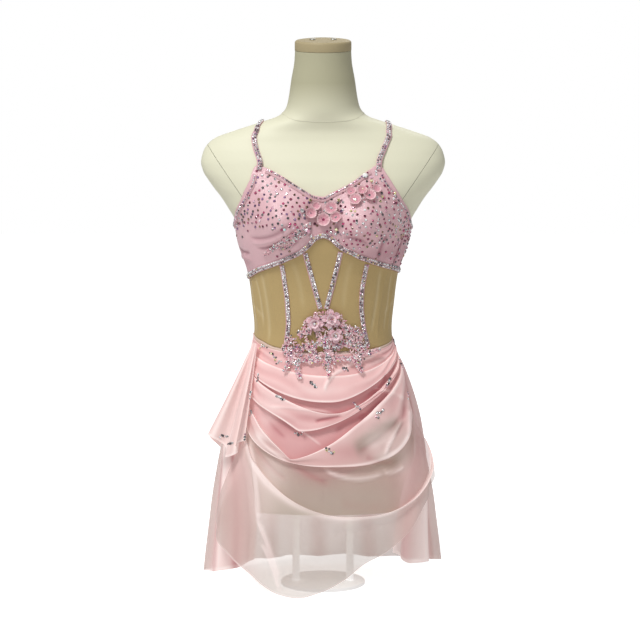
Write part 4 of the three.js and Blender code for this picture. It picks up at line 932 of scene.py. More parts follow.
def makeDrape():
    last = len(swags["left"])
    tuck = drape["tuck"]
    under = np.linspace(0, tuck, drape["rowsInTuck"], endpoint=False)
    band = tuck + (1 - tuck) * (1 - (1 - np.linspace(0, 1, drape["rowsInBand"], endpoint=False)) ** 1.35)
    steps = [np.linspace(0, 1, 14, endpoint=False)]
    steps += [swag + np.concatenate([under, band]) for swag in range(1, last - 1)]
    apronTuck, apron = np.linspace(0, 0.08, 6, endpoint=False), 0.08 + 0.92 * np.linspace(0, 1, 48) ** 1.3
    steps += [last - 1 + np.concatenate([apronTuck, apron])]
    place = np.concatenate(steps)
    share, down = np.meshgrid(np.linspace(0, 1, drape["columns"]), place)
    co, outward = drapeSurface(share, down)
    # the fold's lip is rolled, not a knife edge
    for _ in range(2):
        co[1:-1] = 0.25 * co[:-2] + 0.5 * co[1:-1] + 0.25 * co[2:]
    swag = np.floor(np.minimum(down, last - 0.001)).astype(int)
    inside = down - swag
    hookShare = np.where(swag == last - 1, tuck * 0.5, tuck)
    fold = creases(co[..., 0], co[..., 2], drapeFolds)
    ripple = np.sin(share * 17 + swag * 2.1) * np.sin(inside * math.pi) * np.sin(share * 41 + swag * 4.7 + 1)
    calm = ease(share / 0.05) * ease((1 - share) / 0.05) * ease(down / 0.3) * ease((last - down) / 0.05)
    # finer folds fan out of the gathers at both sides and die away towards the middle
    count = np.array(drape["fans"])[swag]
    away = np.where(share < 0.5, 0.5 - share, share - 0.5) * 2
    wander = 0.5 * np.sin(share * 7 + swag) + 0.25 * np.sin(share * 19 + swag * 3)
    fan = np.sin(2 * math.pi * (count * inside + wander + swag * 0.37))
    fan = fan * away ** 0.8 * np.sin(math.pi * np.clip(inside, 0, 1)) ** 0.6
    fan = fan * (count > 0) * mix(0.6, 1.1, share)
    fold = fold + drape["fanDeep"] * fan
    co = co + outward * ((fold + drape["waves"] * ripple) * calm)[..., None]
    # material values
    layersAt = drape["layersAt"]
    across, height = co[..., 0], co[..., 2]
    layers = readColumn(layersAt["height"], layersAt["layers"], height)
    layers = np.maximum(layers, np.array(drape["least"])[swag])
    layers = np.minimum(layers, np.array(drape["most"])[swag])
    knee = ease((height - 195) / 40) * ease((300 - height) / 30)
    layers = layers + 0.25 * bump(share, 0.42, 0.14) * knee
    # two places at the right where a single layer lies over the thigh
    layers = layers - creases(across, height, [(52, 244, 126, 286, 5, 12, 0.75)])
    layers = layers - 0.5 * bump(across, 108, 26) * bump(height, 224, 14)
    # the net is doubled where it lies over the flares at both sides
    flares = bump(across, -140, 34) + bump(across, 142, 34)
    layers = layers + 0.4 * flares * ease((260 - height) / 60)
    opens = swags["opens"] > 0
    below = np.minimum(swag + 1, last - 1)
    # painted shade beneath a lip that overhangs, and above one whose pocket opens upwards, stronger towards
    # the middle and towards the right, away from the light
    beneath = np.where(opens[swag], 0, swags["dark"][swag]) * np.exp(-((inside / 0.75) ** 2))
    above = np.where(opens[below] & (swag < last - 1), swags["dark"][below], 0)
    above = above * np.exp(-(((1 - inside) / 0.75) ** 2))
    middle = np.sin(math.pi * np.clip(share, 0, 1)) ** 0.5
    deep = np.maximum(beneath, above) * mix(0.35, 1, middle) * mix(0.75, 1.15, share)
    # lighter along each lip: partly the doubled net at the fold, partly painted highlight
    hanging = (swag < last - 1) & ~opens[below]
    lipHighlight = np.exp(-(((0.96 - inside) / 0.035) ** 2)) * hanging * 0.85
    past = inside - hookShare
    ridgeHighlight = np.exp(-((past / 0.045) ** 2)) + 0.25 * (past > 0) * np.exp(-((past / 0.25) ** 2))
    lipHighlight = lipHighlight + ridgeHighlight * (opens[swag] & (swag > 0))
    hemLine = np.where(down > last - 0.012, 0.8, 0)
    edge = np.clip(1.1 * lipHighlight * (1 - 0.3 * (swag == 0)) + hemLine + 0.9 * (down < 0.04), 0, 1)
    # the painted highlight on a lip is uneven along it
    edge = edge * (0.8 + 0.2 * np.sin(share * 11 + swag * 2.7) * np.sin(share * 29 + swag * 1.3))
    # painted highlight on the ridges of the placed folds
    edge = np.maximum(edge, np.clip(fold / 3.2, 0, 0.6))
    # painted light at the light places; painted shade in the troughs of the placed folds and at the shade
    # places
    lit = spots(lightPlaces, across, height)
    deep = np.clip(deep + np.clip(-fold / 3.5, 0, 0.6) + spots(shadePlaces, across, height), 0, 1)
    edge = np.clip(edge + lit, 0, 1)
    deep = deep * (1 - 0.8 * np.clip(lit, 0, 1))
    piece = netSheet("skirtFrontDrape", co, np.clip(layers, 0, 1), deep, edge)
    wear(piece, "sheer_mesh", "skirt_front_drape")
    return co


drapeCo = makeDrape()
print("drape made")

# The back skirt
backSections = table("height halfWidth front back left right", [
    (0, 193, 110, 153, -34, 33), (60, 188, 110, 150, -34, 34), (110, 183, 110, 145, -34, 37),
    (150, 179, 110, 141, -36, 41), (200, 172, 108, 135, -41, 50), (240, 166, 106, 129, -48, 61),
    (280, 160, 104, 121, -47, 62), (320, 150, 101, 110, -48, 62), (360, 136, 95, 95, -57, 67),
    (400, 120, 87, 80, -74, 78), (425, 115, 84, 74.5, -83, 85),
])
backTuck = {"inward": 3.5, "from": 250, "fade": 30, "share": 0.045}
backHem = table("angle height", [
    (33, 75), (40, 67), (50, 49), (62, 50), (85, 43), (110, 30), (150, 17), (210, 14), (250, 19),
    (285, 26), (310, 41), (326, 62),
])
backFlutes = {
    "count": 11, "deep": 9, "startHeight": 400, "columns": 390, "rows": 96, "fine": 1.3, "fineCount": 34,
}


def makeBackSkirt():
    share, down = np.meshgrid(np.linspace(0, 1, backFlutes["columns"]), np.linspace(0, 1, backFlutes["rows"]))

    def level(angle):
        return mix(waistAt(angle) - 1, readColumn(backHem["angle"], backHem["height"], angle), down)

    height = level(np.full(share.shape, 180.0))
    for _ in range(3):
        section = read(backSections, "height", height)
        angle = mix(section["right"], 360 + section["left"], share)
        height = level(angle)
    section = read(backSections, "height", height)
    x, y = onSection(section, angle, 2.1)
    opening = np.clip((backFlutes["startHeight"] - height) / backFlutes["startHeight"], 0, 1) ** 1.2
    phase = share * backFlutes["count"] * 2 * math.pi + 0.6 * np.sin(share * 9)
    wave = np.cos(phase)
    fine = np.cos(share * backFlutes["fineCount"] * 2 * math.pi + 2 * np.sin(share * 21))
    fine = backFlutes["fine"] * fine * np.sin(share * 33 + 1) * ease(down / 0.2) * (0.4 + 0.6 * opening)
    stand = backFlutes["deep"] * opening * wave + fine
    # above the flares its edges are drawn in towards the form, beside the front drape's
    tucked = ease((backTuck["share"] - np.minimum(share, 1 - share)) / 0.02)
    tucked = tucked * ease((height - backTuck["from"]) / backTuck["fade"])
    stand = mix(stand, -backTuck["inward"], tucked)
    outward = unit(points(x / section["halfWidth"], y / section["back"], 0))
    hanging = points(x, y, height) + outward * stand[..., None]
    co = mix(torso(angle, height, skirtSeat - 0.8 * tucked), hanging, ease(down / 0.12)[..., None])
    layers = 0.3 + 0.6 * ease((height - 300) / 110) + 0.4 * np.clip(-wave, 0, 1) ** 1.5 * opening
    # painted shade in the flute hollows, and darker higher up
    deep = 0.2 * np.clip(-wave, 0, 1) ** 2 * ease(down / 0.3) + 0.12 * ease((height - 120) / 200)
    outer = np.abs(share - 0.5) * 2
    # the right flare turns away from the light above the knee and is painted in shade there, the left one
    # hangs in closer pleats with painted shade in their hollows
    shadowed = ease((height - 170) / 60) * ease((0.5 - share) / 0.2)
    pleated = ease((share - 0.8) / 0.1) * ease((330 - height) / 60)
    layers = layers + 0.2 * ease((outer - 0.6) / 0.2) + 0.25 * pleated
    pleat = np.cos(share * 150 + np.sin(down * 3))
    deep = deep + 0.15 * shadowed + 0.6 * pleated * np.clip(-pleat, 0, 1) ** 2
    # lighter at the hem and side edges where the net is doubled, with painted highlight on the flute crests
    # and over the outer flares
    edge = 0.5 * (down > 0.985) * ease((outer - 0.6) / 0.3) + 0.6 * (outer > 0.988)
    edge = edge + 0.15 * np.clip(wave, 0, 1) ** 6
    edge = edge + ease((outer - 0.62) / 0.2) * (0.55 + 0.3 * wave) * mix(1, 0.2, shadowed)
    edge = np.clip(edge * (1 - 0.6 * pleated * np.clip(-pleat, 0, 1)), 0, 1)
    piece = netSheet("skirtBack", co, np.clip(layers, 0, 1), np.clip(deep, 0, 1), edge)
    wear(piece, "sheer_mesh", "skirt_back")


makeBackSkirt()
print("back skirt made")

# The cascade at the left side seam: where each pleat starts at the waist and ends at the hem.
cascadePleats = table("share topX topY hemX hemY hemHeight", [
    (0, -107, -53, -127, -91, 256), (0.17, -109, -52, -141, -101, 250), (0.3, -109.5, -49, -138, -86, 237),
    (0.47, -111.5, -47, -159, -95, 228), (0.6, -112, -43, -157, -77, 240), (0.8, -115, -38, -188, -68, 262),
    (1, -114, -33, -168, -54, 238),
])
cascade = {"top": 409, "belly": 5, "columns": 200, "rows": 76, "pleats": 5.5, "pleatDeep": 3.5}


def makeCascade():
    share, down = np.meshgrid(np.linspace(0, 1, cascade["columns"]), np.linspace(0, 1, cascade["rows"]))
    pleat = read(cascadePleats, "share", share)
    opening = down ** 1.1
    belly = cascade["belly"] * np.sin(math.pi * down)
    x = mix(pleat["topX"], pleat["hemX"], mix(down, opening, 0.5))
    y = mix(pleat["topY"], pleat["hemY"], mix(down ** 0.85, opening, 0.5)) - belly
    z = mix(cascade["top"], pleat["hemHeight"], down)
    fine = np.sin(share * 38 + 1) * np.sin(share * 17) * 1.2 * opening
    pleat = np.cos(2 * math.pi * cascade["pleats"] * share + 0.8 * np.sin(share * 8))
    co = points(x, y + fine - cascade["pleatDeep"] * pleat * ease(down / 0.5), z)
    # painted shade in the pleat hollows and darker towards the top along the first edge; painted highlight on
    # the pleat crests, and lighter towards the hem and at both edges
    hollowShade = np.clip(-pleat, 0, 1) ** 2 * ease(down / 0.15)
    deep = np.clip(0.7 * (1 - down) ** 0.7 * bump(share, 0.06, 0.15) + 0.25 * hollowShade * (1 - 0.5 * down), 0, 1)
    edge = 0.3 + 0.2 * down ** 2 + 0.45 * np.clip(pleat, 0, 1) ** 3 + 0.3 * (down > 0.985)
    edge = np.clip(edge + 0.5 * ((share < 0.01) | (share > 0.99)), 0, 1)
    piece = netSheet("sideCascade", co, 0.62 + 0.25 * (1 - down), 0.7 * deep, edge)
    wear(piece, "sheer_mesh", "side_cascade")
    return co


cascadeCo = makeCascade()
print("cascade made")

# Stones
stoneColours = {
    "silver": (0.8, 0.82, 0.84), "white": (1.0, 1.0, 1.0), "grey": (0.13, 0.11, 0.12),
    "rose": (0.32, 0.04, 0.11), "mauve": (0.2, 0.1, 0.22), "pink": (0.9, 0.42, 0.55),
    "gold": (0.85, 0.66, 0.3), "aqua": (0.5, 0.85, 0.78), "brown": (0.24, 0.13, 0.09),
}
# each facet is painted darker or brighter at random: painted reflections of dark and bright surroundings,
# which make the stones sparkle
facetReflectionTones = (0.08, 0.35, 0.8, 1.4, 2.2)


def stoneMaterial():
    material, tree, shader = newMaterial("rhinestone")
    colour = addNode(tree, "Attribute", attribute_name="stoneColour")
    tree.links.new(colour.outputs["Color"], shader.inputs["Base Color"])
    place = addNode(tree, "TexCoord")
    dust = addNode(tree, "TexNoise", {"Vector": place.outputs["Object"], "Scale": 700.0})
    gloss = addNode(tree, "MapRange", {"Value": dust.outputs["Fac"], "To Min": 0.06, "To Max": 0.22})
    tree.links.new(gloss.outputs["Result"], shader.inputs["Roughness"])
    shader.inputs["Metallic"].default_value = 0.15
    shader.inputs["Specular IOR Level"].default_value = 0.8
    shader.inputs["Coat Weight"].default_value = 0.5
    return material


materials["rhinestone"] = stoneMaterial()


def pickColours(weights, count):
    names = list(weights)
    share = np.array([weights[name] for name in names], float)
    chosen = rng.choice(len(names), size=count, p=share / share.sum())
    return np.array([stoneColours[name] for name in names])[chosen]


def stones(name, centre, normal, radius, colour, sides=8, tall=0.6):
    # faceted stones: a table, a crown of triangles, a girdle and a flat back
    count = len(centre)
    radius = np.broadcast_to(np.asarray(radius, float), (count,))
    reference = np.where(np.abs(normal[:, 2:3]) > 0.9, [[1.0, 0, 0]], [[0, 0, 1.0]])
    side = unit(np.cross(reference, normal))
    up = np.cross(normal, side)
    spin = rng.uniform(0, 2 * math.pi, count)
    rings = []
    for reach, rise, twist in ((0.55, tall, 0.0), (1.0, 0.3 * tall, 0.5), (0.82, -0.15, 0.5)):
        turn = spin[:, None] + (np.arange(sides) + twist) * 2 * math.pi / sides
        across, along = reach * radius[:, None] * np.cos(turn), reach * radius[:, None] * np.sin(turn)
        ring = centre[:, None] + side[:, None] * across[..., None] + up[:, None] * along[..., None]
        rings.append(ring + normal[:, None] * (rise * radius)[:, None, None])
    co = np.stack(rings, 1).reshape(-1, 3)
    start = (np.arange(count) * 3 * sides)[:, None, None]
    i = np.arange(sides)
    after = (i + 1) % sides
    crown = np.concatenate([
        np.stack([i, i + sides, after], -1), np.stack([i + sides, after + sides, after], -1),
    ])
    girdle = np.stack([i + sides, i + 2 * sides, after + 2 * sides, after + sides], -1)
    tables = (i[None, None] + start).reshape(-1, sides).tolist()
    backs = (i[::-1][None, None] + 2 * sides + start).reshape(-1, sides).tolist()
    crowns = (crown[None] + start).reshape(-1, 3).tolist()
    girdles = (girdle[None] + start).reshape(-1, 4).tolist()
    piece = addMesh(name, co, tables + backs + crowns + girdles, materials["rhinestone"], smooth=False)
    colour = np.broadcast_to(colour, (count, 3))
    owner = np.concatenate([np.repeat(np.arange(count), times) for times in (1, 1, 2 * sides, sides)])
    # a painted reflection tone for each facet
    tone = rng.choice(facetReflectionTones, size=len(owner))
    rgba = np.ones((len(owner), 4), np.float32)
    rgba[:, :3] = np.clip(colour[owner] * tone[:, None], 0, 1)
    layer = piece.data.attributes.new("stoneColour", "FLOAT_COLOR", "FACE")
    layer.data.foreach_set("color", rgba.ravel())
    wear(piece, "rhinestone")


class Joined:
    # several closed pieces gathered into one mesh
    def __init__(self):
        self.co, self.faces, self.values, self.count = [], [], [], 0

    def add(self, co, faces, value):
        self.co.append(co)
        self.faces += [[i + self.count for i in face] for face in faces]
        self.values.append(np.broadcast_to(value, (len(co),)))
        self.count += len(co)

    def make(self, name, material):
        values = {"deep": np.concatenate(self.values)}
        return addMesh(name, np.concatenate(self.co), self.faces, material, values=values)


# Trims, bands and straps, each a crowned ribbon with one or two rows of stones
ribbon = {
    "thick": 1.2, "bodiceLift": clothInset + bodiceThick + 0.5, "meshLift": clothInset + meshThick + 0.5,
    "section": [
        (-0.47, -0.55), (-0.5, 0.3), (-0.41, 0.75), (-0.2, 0.96), (0.0, 1.02), (0.2, 0.96), (0.41, 0.75),
        (0.5, 0.3), (0.47, -0.55),
    ],
    "stoneRadius": 1.8, "pitch": 3.7,
}
strapRows = {
    "Left": table("angle height lift", [
        (-29.4, 690, 3.2), (-28.6, 702, 3), (-31, 721, 0.8), (-36, 740, 0.6), (-44, 752.5, 0.6),
        (-57, 761.5, 0.6), (-74, 767.5, 0.6), (-92, 768.8, 0.6), (-108, 767, 0.6), (-124, 761.5, 0.6),
        (-136, 750, 0.6), (-143, 730, 0.6), (-147, 700, 0.6), (-149, 660, 0.6), (-151, 620, 0.6),
        (-153, 604, 0.8), (-153.5, 594, 3.2), (-154, 576, 3.2),
    ]),
    "Right": table("angle height lift", [
        (25.2, 690, 3.2), (25.2, 702, 3), (28, 722, 0.8), (34, 741, 0.6), (46, 755, 0.6), (60, 762, 0.6),
        (76, 766, 0.6), (92, 767, 0.6), (108, 765.5, 0.6), (124, 760.5, 0.6), (136, 750, 0.6),
        (143, 730, 0.6), (147, 700, 0.6), (149, 660, 0.6), (151, 620, 0.6), (153, 604, 0.8),
        (153.5, 594, 3.2), (154, 576, 3.2),
    ]),
}
armholeRows = {
    "Left": table("angle height", [
        (-31.5, 683), (-35, 666), (-42, 648), (-53, 629), (-70, 609), (-87, 597.5),
    ]),
    "Right": table("angle height", [(27, 683), (30, 671), (38, 651), (51, 629), (71, 605.5), (87, 594.5)]),
}
bandRows = {
    "OuterLeft": table("angle height", [
        (-30.3, 539.5), (-30, 514), (-28.9, 483), (-29, 450), (-30.3, 425), (-31, 408),
    ]),
    "InnerLeft": table("angle height", [(-12.2, 560), (-10.2, 536), (-7.6, 511), (-4.8, 488), (-2.3, 469)]),
    "InnerRight": table("angle height", [(11.8, 562), (10, 536), (7.6, 511), (4.9, 488), (2.6, 469)]),
    "OuterRight": table("angle height", [
        (32.2, 541), (31.8, 522), (30.8, 499), (31.2, 474), (33.2, 450), (36.4, 424), (38.2, 406.5),
    ]),
}


def alongRows(rows, steps, lift=None):
    share = np.linspace(0, 1, steps)
    marks = np.linspace(0, 1, len(rows["angle"]))
    angle, height = (readColumn(marks, rows[name], share) for name in ("angle", "height"))
    raised = readColumn(marks, rows["lift"], share) if lift is None else np.full(steps, lift)
    return angle, height, raised


def makeRibbon(name, node, line, width, stoneRows, weights):
    angle, height, lift = line
    normal = torsoNormal(angle, height)
    base = torso(angle, height, lift)
    side = unit(np.cross(unit(np.gradient(base, axis=0)), normal))
    section = ribbon["section"]
    rings = np.stack([
        base + side * (across * width) + normal * (rise * ribbon["thick"]) for across, rise in section
    ], 1)
    co, faces = ringStack(rings)
    wear(smoothed(addMesh(name, co, faces, materials["stoneTrim"]), 50), "stone_trim", node)
    # stones at even steps along the ribbon, each row half a step on from the last
    length = np.concatenate([[0], np.cumsum(np.linalg.norm(np.diff(base, axis=0), axis=1))])
    centre, facing = [], []
    for row, across in enumerate(stoneRows):
        first = ribbon["stoneRadius"] + (row % 2) * ribbon["pitch"] / 2
        places = np.arange(first, length[-1] - ribbon["stoneRadius"], ribbon["pitch"])
        places = places + rng.normal(0, 0.25, len(places))
        sample = [
            np.stack([np.interp(places, length, part[:, i]) for i in range(3)], -1)
            for part in (base, side, normal)
        ]
        crown = 1.04 - 0.5 * across ** 2
        centre.append(sample[0] + sample[1] * (across * width) + unit(sample[2]) * crown * ribbon["thick"])
        facing.append(unit(sample[2] + sample[1] * (across * 0.6) + rng.normal(0, 0.05, (len(places), 3))))
    centre, facing = np.concatenate(centre), np.concatenate(facing)
    radius = ribbon["stoneRadius"] * rng.uniform(0.85, 1.06, len(centre))
    stones(name + "Stones", centre, facing, radius, pickColours(weights, len(centre)), sides=7)


trimWeights = {"silver": 3.5, "white": 6, "grey": 3, "gold": 0.8, "pink": 0.4, "aqua": 0.3}
pinkTrimWeights = {"silver": 2.4, "pink": 3.4, "grey": 1.6, "rose": 1, "mauve": 0.8, "white": 2}
strapWeights = {"silver": 3, "pink": 0.3, "grey": 3, "mauve": 0.7, "white": 5}


trimWidths = {"underbust": 9, "neckline": 8, "armhole": 7, "strap": 9, "band": 8}


def makeTrims():
    lift = ribbon["bodiceLift"]
    angle = np.linspace(-sideSeam, sideSeam, 260)
    makeRibbon("underbustTrim", "underbust_trim", (angle, bodiceBottom(angle) + 3.8, np.full(260, lift)),
               trimWidths["underbust"], (-0.22, 0.22), trimWeights)
    angle = np.linspace(-26, 21.6, 160)
    makeRibbon("necklineTrim", "neckline_trim", (angle, bodiceTop(angle) - 5, np.full(160, lift)),
               trimWidths["neckline"], (-0.2,), pinkTrimWeights)
    for side in ("Left", "Right"):
        lower = side.lower()
        makeRibbon("armholeTrim" + side, "armhole_trim_" + lower, alongRows(armholeRows[side], 120, lift),
                   trimWidths["armhole"], (0.02,), pinkTrimWeights)
        leaning = -0.08 if side == "Right" else 0.08
        makeRibbon("shoulderStrap" + side, "shoulder_strap_" + lower, alongRows(strapRows[side], 260),
                   trimWidths["strap"], (leaning - 0.2, leaning + 0.2), strapWeights)
        for place in ("Outer", "Inner"):
            band = place + side
            makeRibbon("midriffBand" + band, "midriff_band_" + place.lower() + "_" + lower,
                       alongRows(bandRows[band], 110, ribbon["meshLift"]), trimWidths["band"],
                       (-0.1, 0.3) if side == "Right" else (-0.3, 0.1), trimWeights)


makeTrims()
print("trims made")

# Stones scattered over the bodice, closer together at the top and towards the middle
bodiceStones = {
    "pitch": 8.0, "rowShare": 0.8, "reach": 184, "low": 512, "high": 700, "jitter": 1.4,
    "radius": (1.95, 2.5), "margin": 6.0, "lift": clothInset + bodiceThick,
}
leftStoneWeights = {"grey": 3.5, "mauve": 1.6, "rose": 3.2, "silver": 1.6, "pink": 1.2, "brown": 1.8}
rightStoneWeights = {"grey": 2, "rose": 3.2, "silver": 2.6, "pink": 1.4, "gold": 1, "white": 1, "brown": 1}
bodiceBackStones = {"count": 150, "angle": (94, 266), "height": (524, 582), "radius": (1.1, 1.5)}


def makeBodiceStones():
    pitch, reach = bodiceStones["pitch"], bodiceStones["reach"]
    levels = np.arange(bodiceStones["low"], bodiceStones["high"], pitch * bodiceStones["rowShare"])
    across, height = np.meshgrid(np.arange(-reach, reach, pitch), levels)
    across = across + (np.arange(across.shape[0]) % 2)[:, None] * pitch / 2
    across = across.ravel() + rng.normal(0, bodiceStones["jitter"], across.size)
    height = height.ravel() + rng.normal(0, bodiceStones["jitter"], height.size)
    angle = across / panelMillimetresPerDegree
    margin = bodiceStones["margin"]
    inside = (height < bodiceTop(angle) - margin - 2) & (height > bodiceBottom(angle) + margin + 1)
    skin = torsoSkin(angle, height)
    level = (height - bodiceBottom(angle)) / (bodiceTop(angle) - bodiceBottom(angle))
    outer = np.abs(angle) / sideSeam
    keep = np.where(angle < 0, 0.1 + 1.5 * ease((height - 588) / 30), 0.3 + 1.3 * ease((height - 562) / 25))
    keep = keep * mix(1, 0.3, ease((outer - 0.45) / 0.3) * (level < 0.8) * (angle < 0))
    clear = np.ones(len(angle), bool)
    for row in np.concatenate([petalPlaces(centrePetals), petalPlaces(rightPetals)]):
        clear &= np.hypot(skin[:, 0] - row[0], skin[:, 2] - row[1]) > row[2] + 1
    chosen = inside & clear & (rng.uniform(0, 1, len(angle)) < keep)
    angle, height = angle[chosen], height[chosen]
    centre = torso(angle, height, np.full(len(angle), bodiceStones["lift"]))
    facing = unit(torsoNormal(angle, height) + rng.normal(0, 0.06, centre.shape))
    left = pickColours(leftStoneWeights, len(angle))
    right = pickColours(rightStoneWeights, len(angle))
    colour = np.where((angle < 0)[:, None], left, right)
    stones("bodiceStones", centre, facing, rng.uniform(*bodiceStones["radius"], len(angle)), colour, sides=8)
    # the back band carries a light scatter
    count = bodiceBackStones["count"]
    angle, height = (rng.uniform(*bodiceBackStones[key], count) for key in ("angle", "height"))
    centre = torso(angle, height, np.full(count, bodiceStones["lift"]))
    radius = rng.uniform(*bodiceBackStones["radius"], count)
    colour = pickColours({"grey": 2, "mauve": 1, "rose": 1.5, "silver": 3, "pink": 1}, count)
    stones("bodiceBackStones", centre, torsoNormal(angle, height), radius, colour, sides=8)


# Lace leaves: middle across and height, half length, half width and direction in degrees.
waistLeaves = table("across height long wide turn", [
    (-36, 428, 21, 6, 27), (-57, 411, 14, 6, 56), (-8, 412, 19, 7, 41), (17, 413, 19, 6.5, -45),
    (42, 435, 21, 6, -27), (46, 408, 25, 5.5, -11), (67, 395, 24, 5, 14), (-51, 392, 17, 6.5, -42),
    (-41, 373, 15, 5.5, -74), (-55, 379, 14, 5, 62), (-27, 386, 21, 6, 3), (-33, 404, 22, 5, 6),
    (-25, 417, 15, 4, 60), (-13, 395, 15, 7, -55), (6, 402, 21, 6, -84), (23, 388, 22, 5.5, 2),
    (8, 375, 15, 5, 90), (46, 386, 17, 6, -10), (55, 377, 12, 5, -58), (58, 418, 14, 4.5, 62),
    (41, 421, 17, 6, -58),
])
bodiceLeavesLeft = table("across height long wide turn", [
    (-34, 599, 15, 6, 30), (-51, 589, 16, 5.5, 32), (-68, 577, 16, 5, 36), (-84, 565, 14, 4.5, 38),
    (-38, 588, 15, 5, 34), (-56, 576, 16, 5, 36), (-50, 582, 12, 4, 80),
])
bodiceLeavesCentre = table("across height long wide turn", [
    (7, 622, 18, 7.5, 54), (-9, 620, 20, 6.5, -15), (17, 624, 14, 6.5, -62),
])
bodiceLeavesRight = table("across height long wide turn", [
    (49, 649, 12, 7, -68), (63, 647, 18, 7, 17), (77, 660, 15, 6, 58),
])
centrePetals = table("across height radius cup", [
    (13.5, 631, 10.5, 0.4), (0.5, 613, 10.5, 0.4), (-21, 623, 9, 0.5), (22, 617, 9, 0.55), (-12, 634, 7, 0.5),
])
rightPetals = table("across height radius cup", [
    (52, 643, 10, 0.42), (73, 650, 10, 0.4), (45, 656, 8, 0.5), (62, 657, 8, 0.55), (84, 660, 7, 0.5),
])
lace = {"thick": 1.6, "lift": 4.6, "gap": 0.8, "bodiceLift": clothInset + bodiceThick + 0.4}


def petalPlaces(rows):
    return np.stack([rows["across"], rows["height"], rows["radius"]], -1)


# A grid over the top of the drape in front view, which tells the waist lace how far forward the cloth stands.
drapeGrid = {"step": 2.0, "reach": 4, "left": -110, "low": 340, "columns": 110, "rows": 60}


def frontOfDrape():
    # the foremost place of the drape near each cell of the grid
    step, reach, columns, rows = (drapeGrid[key] for key in ("step", "reach", "columns", "rows"))
    x, y, z = (drapeCo[..., i].ravel() for i in range(3))
    column = ((x - drapeGrid["left"]) / step).astype(int)
    row = ((z - drapeGrid["low"]) / step).astype(int)
    shown = (column >= 0) & (column < columns) & (row >= 0) & (row < rows) & (y < 0)
    front = np.full((rows, columns), np.inf)
    np.minimum.at(front, (row[shown], column[shown]), y[shown])
    padded = np.pad(front, reach, constant_values=np.inf)
    windows = [
        padded[dy:dy + rows, dx:dx + columns]
        for dy in range(2 * reach + 1) for dx in range(2 * reach + 1)
        if math.hypot(dy - reach, dx - reach) <= reach - 0.5
    ]
    return np.min(windows, axis=0)


drapeFront = frontOfDrape()


def onDrape(across, height, lift):
    place = onFront(across, height, lift)
    row = np.clip((height - drapeGrid["low"]) / drapeGrid["step"] - 0.5, 0, drapeGrid["rows"] - 1.01)
    column = np.clip((across - drapeGrid["left"]) / drapeGrid["step"] - 0.5, 0, drapeGrid["columns"] - 1.01)
    r, c = row.astype(int), column.astype(int)
    u, v = row - r, column - c
    grid = np.where(np.isinf(drapeFront), 0, drapeFront)
    face = (grid[r, c] * (1 - u) * (1 - v) + grid[r + 1, c] * u * (1 - v)
            + grid[r, c + 1] * (1 - u) * v + grid[r + 1, c + 1] * u * v)
    known = face < -40
    ahead = face - sheerThick / 2 - lace["gap"] - (lift - lace["lift"])
    place[..., 1] = np.where(known, np.minimum(place[..., 1], ahead), place[..., 1])
    return place


def leafletsOf(rows):
    # pointed leaflets in pairs along each leaf's stem: across, height, turn, half length, half width, tint
    made = []
    for across, height, long, wide, turn in zip(*rows.values()):
        direction = math.radians(turn)
        for t in np.arange(-0.86, 0.9, 3.4 / long):
            reach = wide * math.sqrt(max(1 - t * t, 0.1))
            for side in (-1, 1):
                lean = direction + side * (0.75 + rng.normal(0, 0.12))
                x = long * t
                middle = 0.5 * reach + 0.5
                made.append((
                    across + x * math.cos(direction) + middle * math.cos(lean),
                    height + x * math.sin(direction) + middle * math.sin(lean),
                    lean, 0.56 * reach + 1.0, rng.uniform(1.0, 1.5), rng.uniform(0.2, 1.0),
                ))
        for t in np.arange(-0.8, 0.95, 5.0 / long):
            made.append((
                across + long * t * math.cos(direction), height + long * t * math.sin(direction),
                direction, 3.4, 0.75, rng.uniform(0, 0.5),
            ))
    return made


def leafletsWithin(outline, pitch):
    # loose leaflets that fill a motif's outline
    outline = np.array(outline, float)
    low, high = outline.min(0), outline.max(0)
    made = []
    for x in np.arange(low[0], high[0], pitch):
        for z in np.arange(low[1], high[1], pitch):
            at = np.array([x, z]) + rng.uniform(-0.45, 0.45, 2) * pitch
            after = np.roll(outline, -1, 0)
            crosses = (outline[:, 1] > at[1]) != (after[:, 1] > at[1])
            slope = (after[:, 0] - outline[:, 0]) / (after[:, 1] - outline[:, 1] + 1e-9)
            inside = (crosses & (at[0] < outline[:, 0] + slope * (at[1] - outline[:, 1]))).sum() % 2
            if inside:
                lean = math.atan2(at[1] - 470, at[0]) + rng.normal(0, 0.7)
                made.append((*at, lean, rng.uniform(2.6, 4.2), rng.uniform(1.0, 1.6), rng.uniform(0, 1)))
    return made


def addLeaflets(body, leaflets, placeAt, lift):
    x, z, turn, long, wide, tint = (column[:, None, None] for column in np.array(leaflets).T)
    t, w = np.meshgrid(np.linspace(-1, 1, 7), np.linspace(-1, 1, 5))
    half = wide * np.maximum(1 - t * t, 0.01) ** 0.6 * w
    rise = lace["thick"] * (0.35 + 0.75 * (1 - w * w) * (1 - t * t) ** 0.5 - 0.3 * np.exp(-((w / 0.3) ** 2)))
    level = lift + rng.uniform(0, 1.1, x.shape)
    px = x + long * t * np.cos(turn) - half * np.sin(turn)
    pz = z + long * t * np.sin(turn) + half * np.cos(turn)
    top, bottom = placeAt(px, pz, level + rise), placeAt(px, pz, level + 0 * rise)
    for index in range(len(leaflets)):
        co, faces = shell(top[index], bottom[index])
        body.add(co, faces, np.tile((tint[index] * (0.6 + 0.4 * np.abs(w)) + 0 * t).ravel(), 2))


def facingOf(place, placeAt, lift):
    x, z = place[:, 0], place[:, 1]
    flat = np.full(len(x), float(lift))
    centre = placeAt(x, z, flat)
    across = placeAt(x + 0.8, z, flat) - placeAt(x - 0.8, z, flat)
    upward = placeAt(x, z + 0.8, flat) - placeAt(x, z - 0.8, flat)
    return centre, unit(np.cross(across, upward))


dishShares = np.array([0.03, 0.2, 0.4, 0.6, 0.78, 0.92, 1.0])


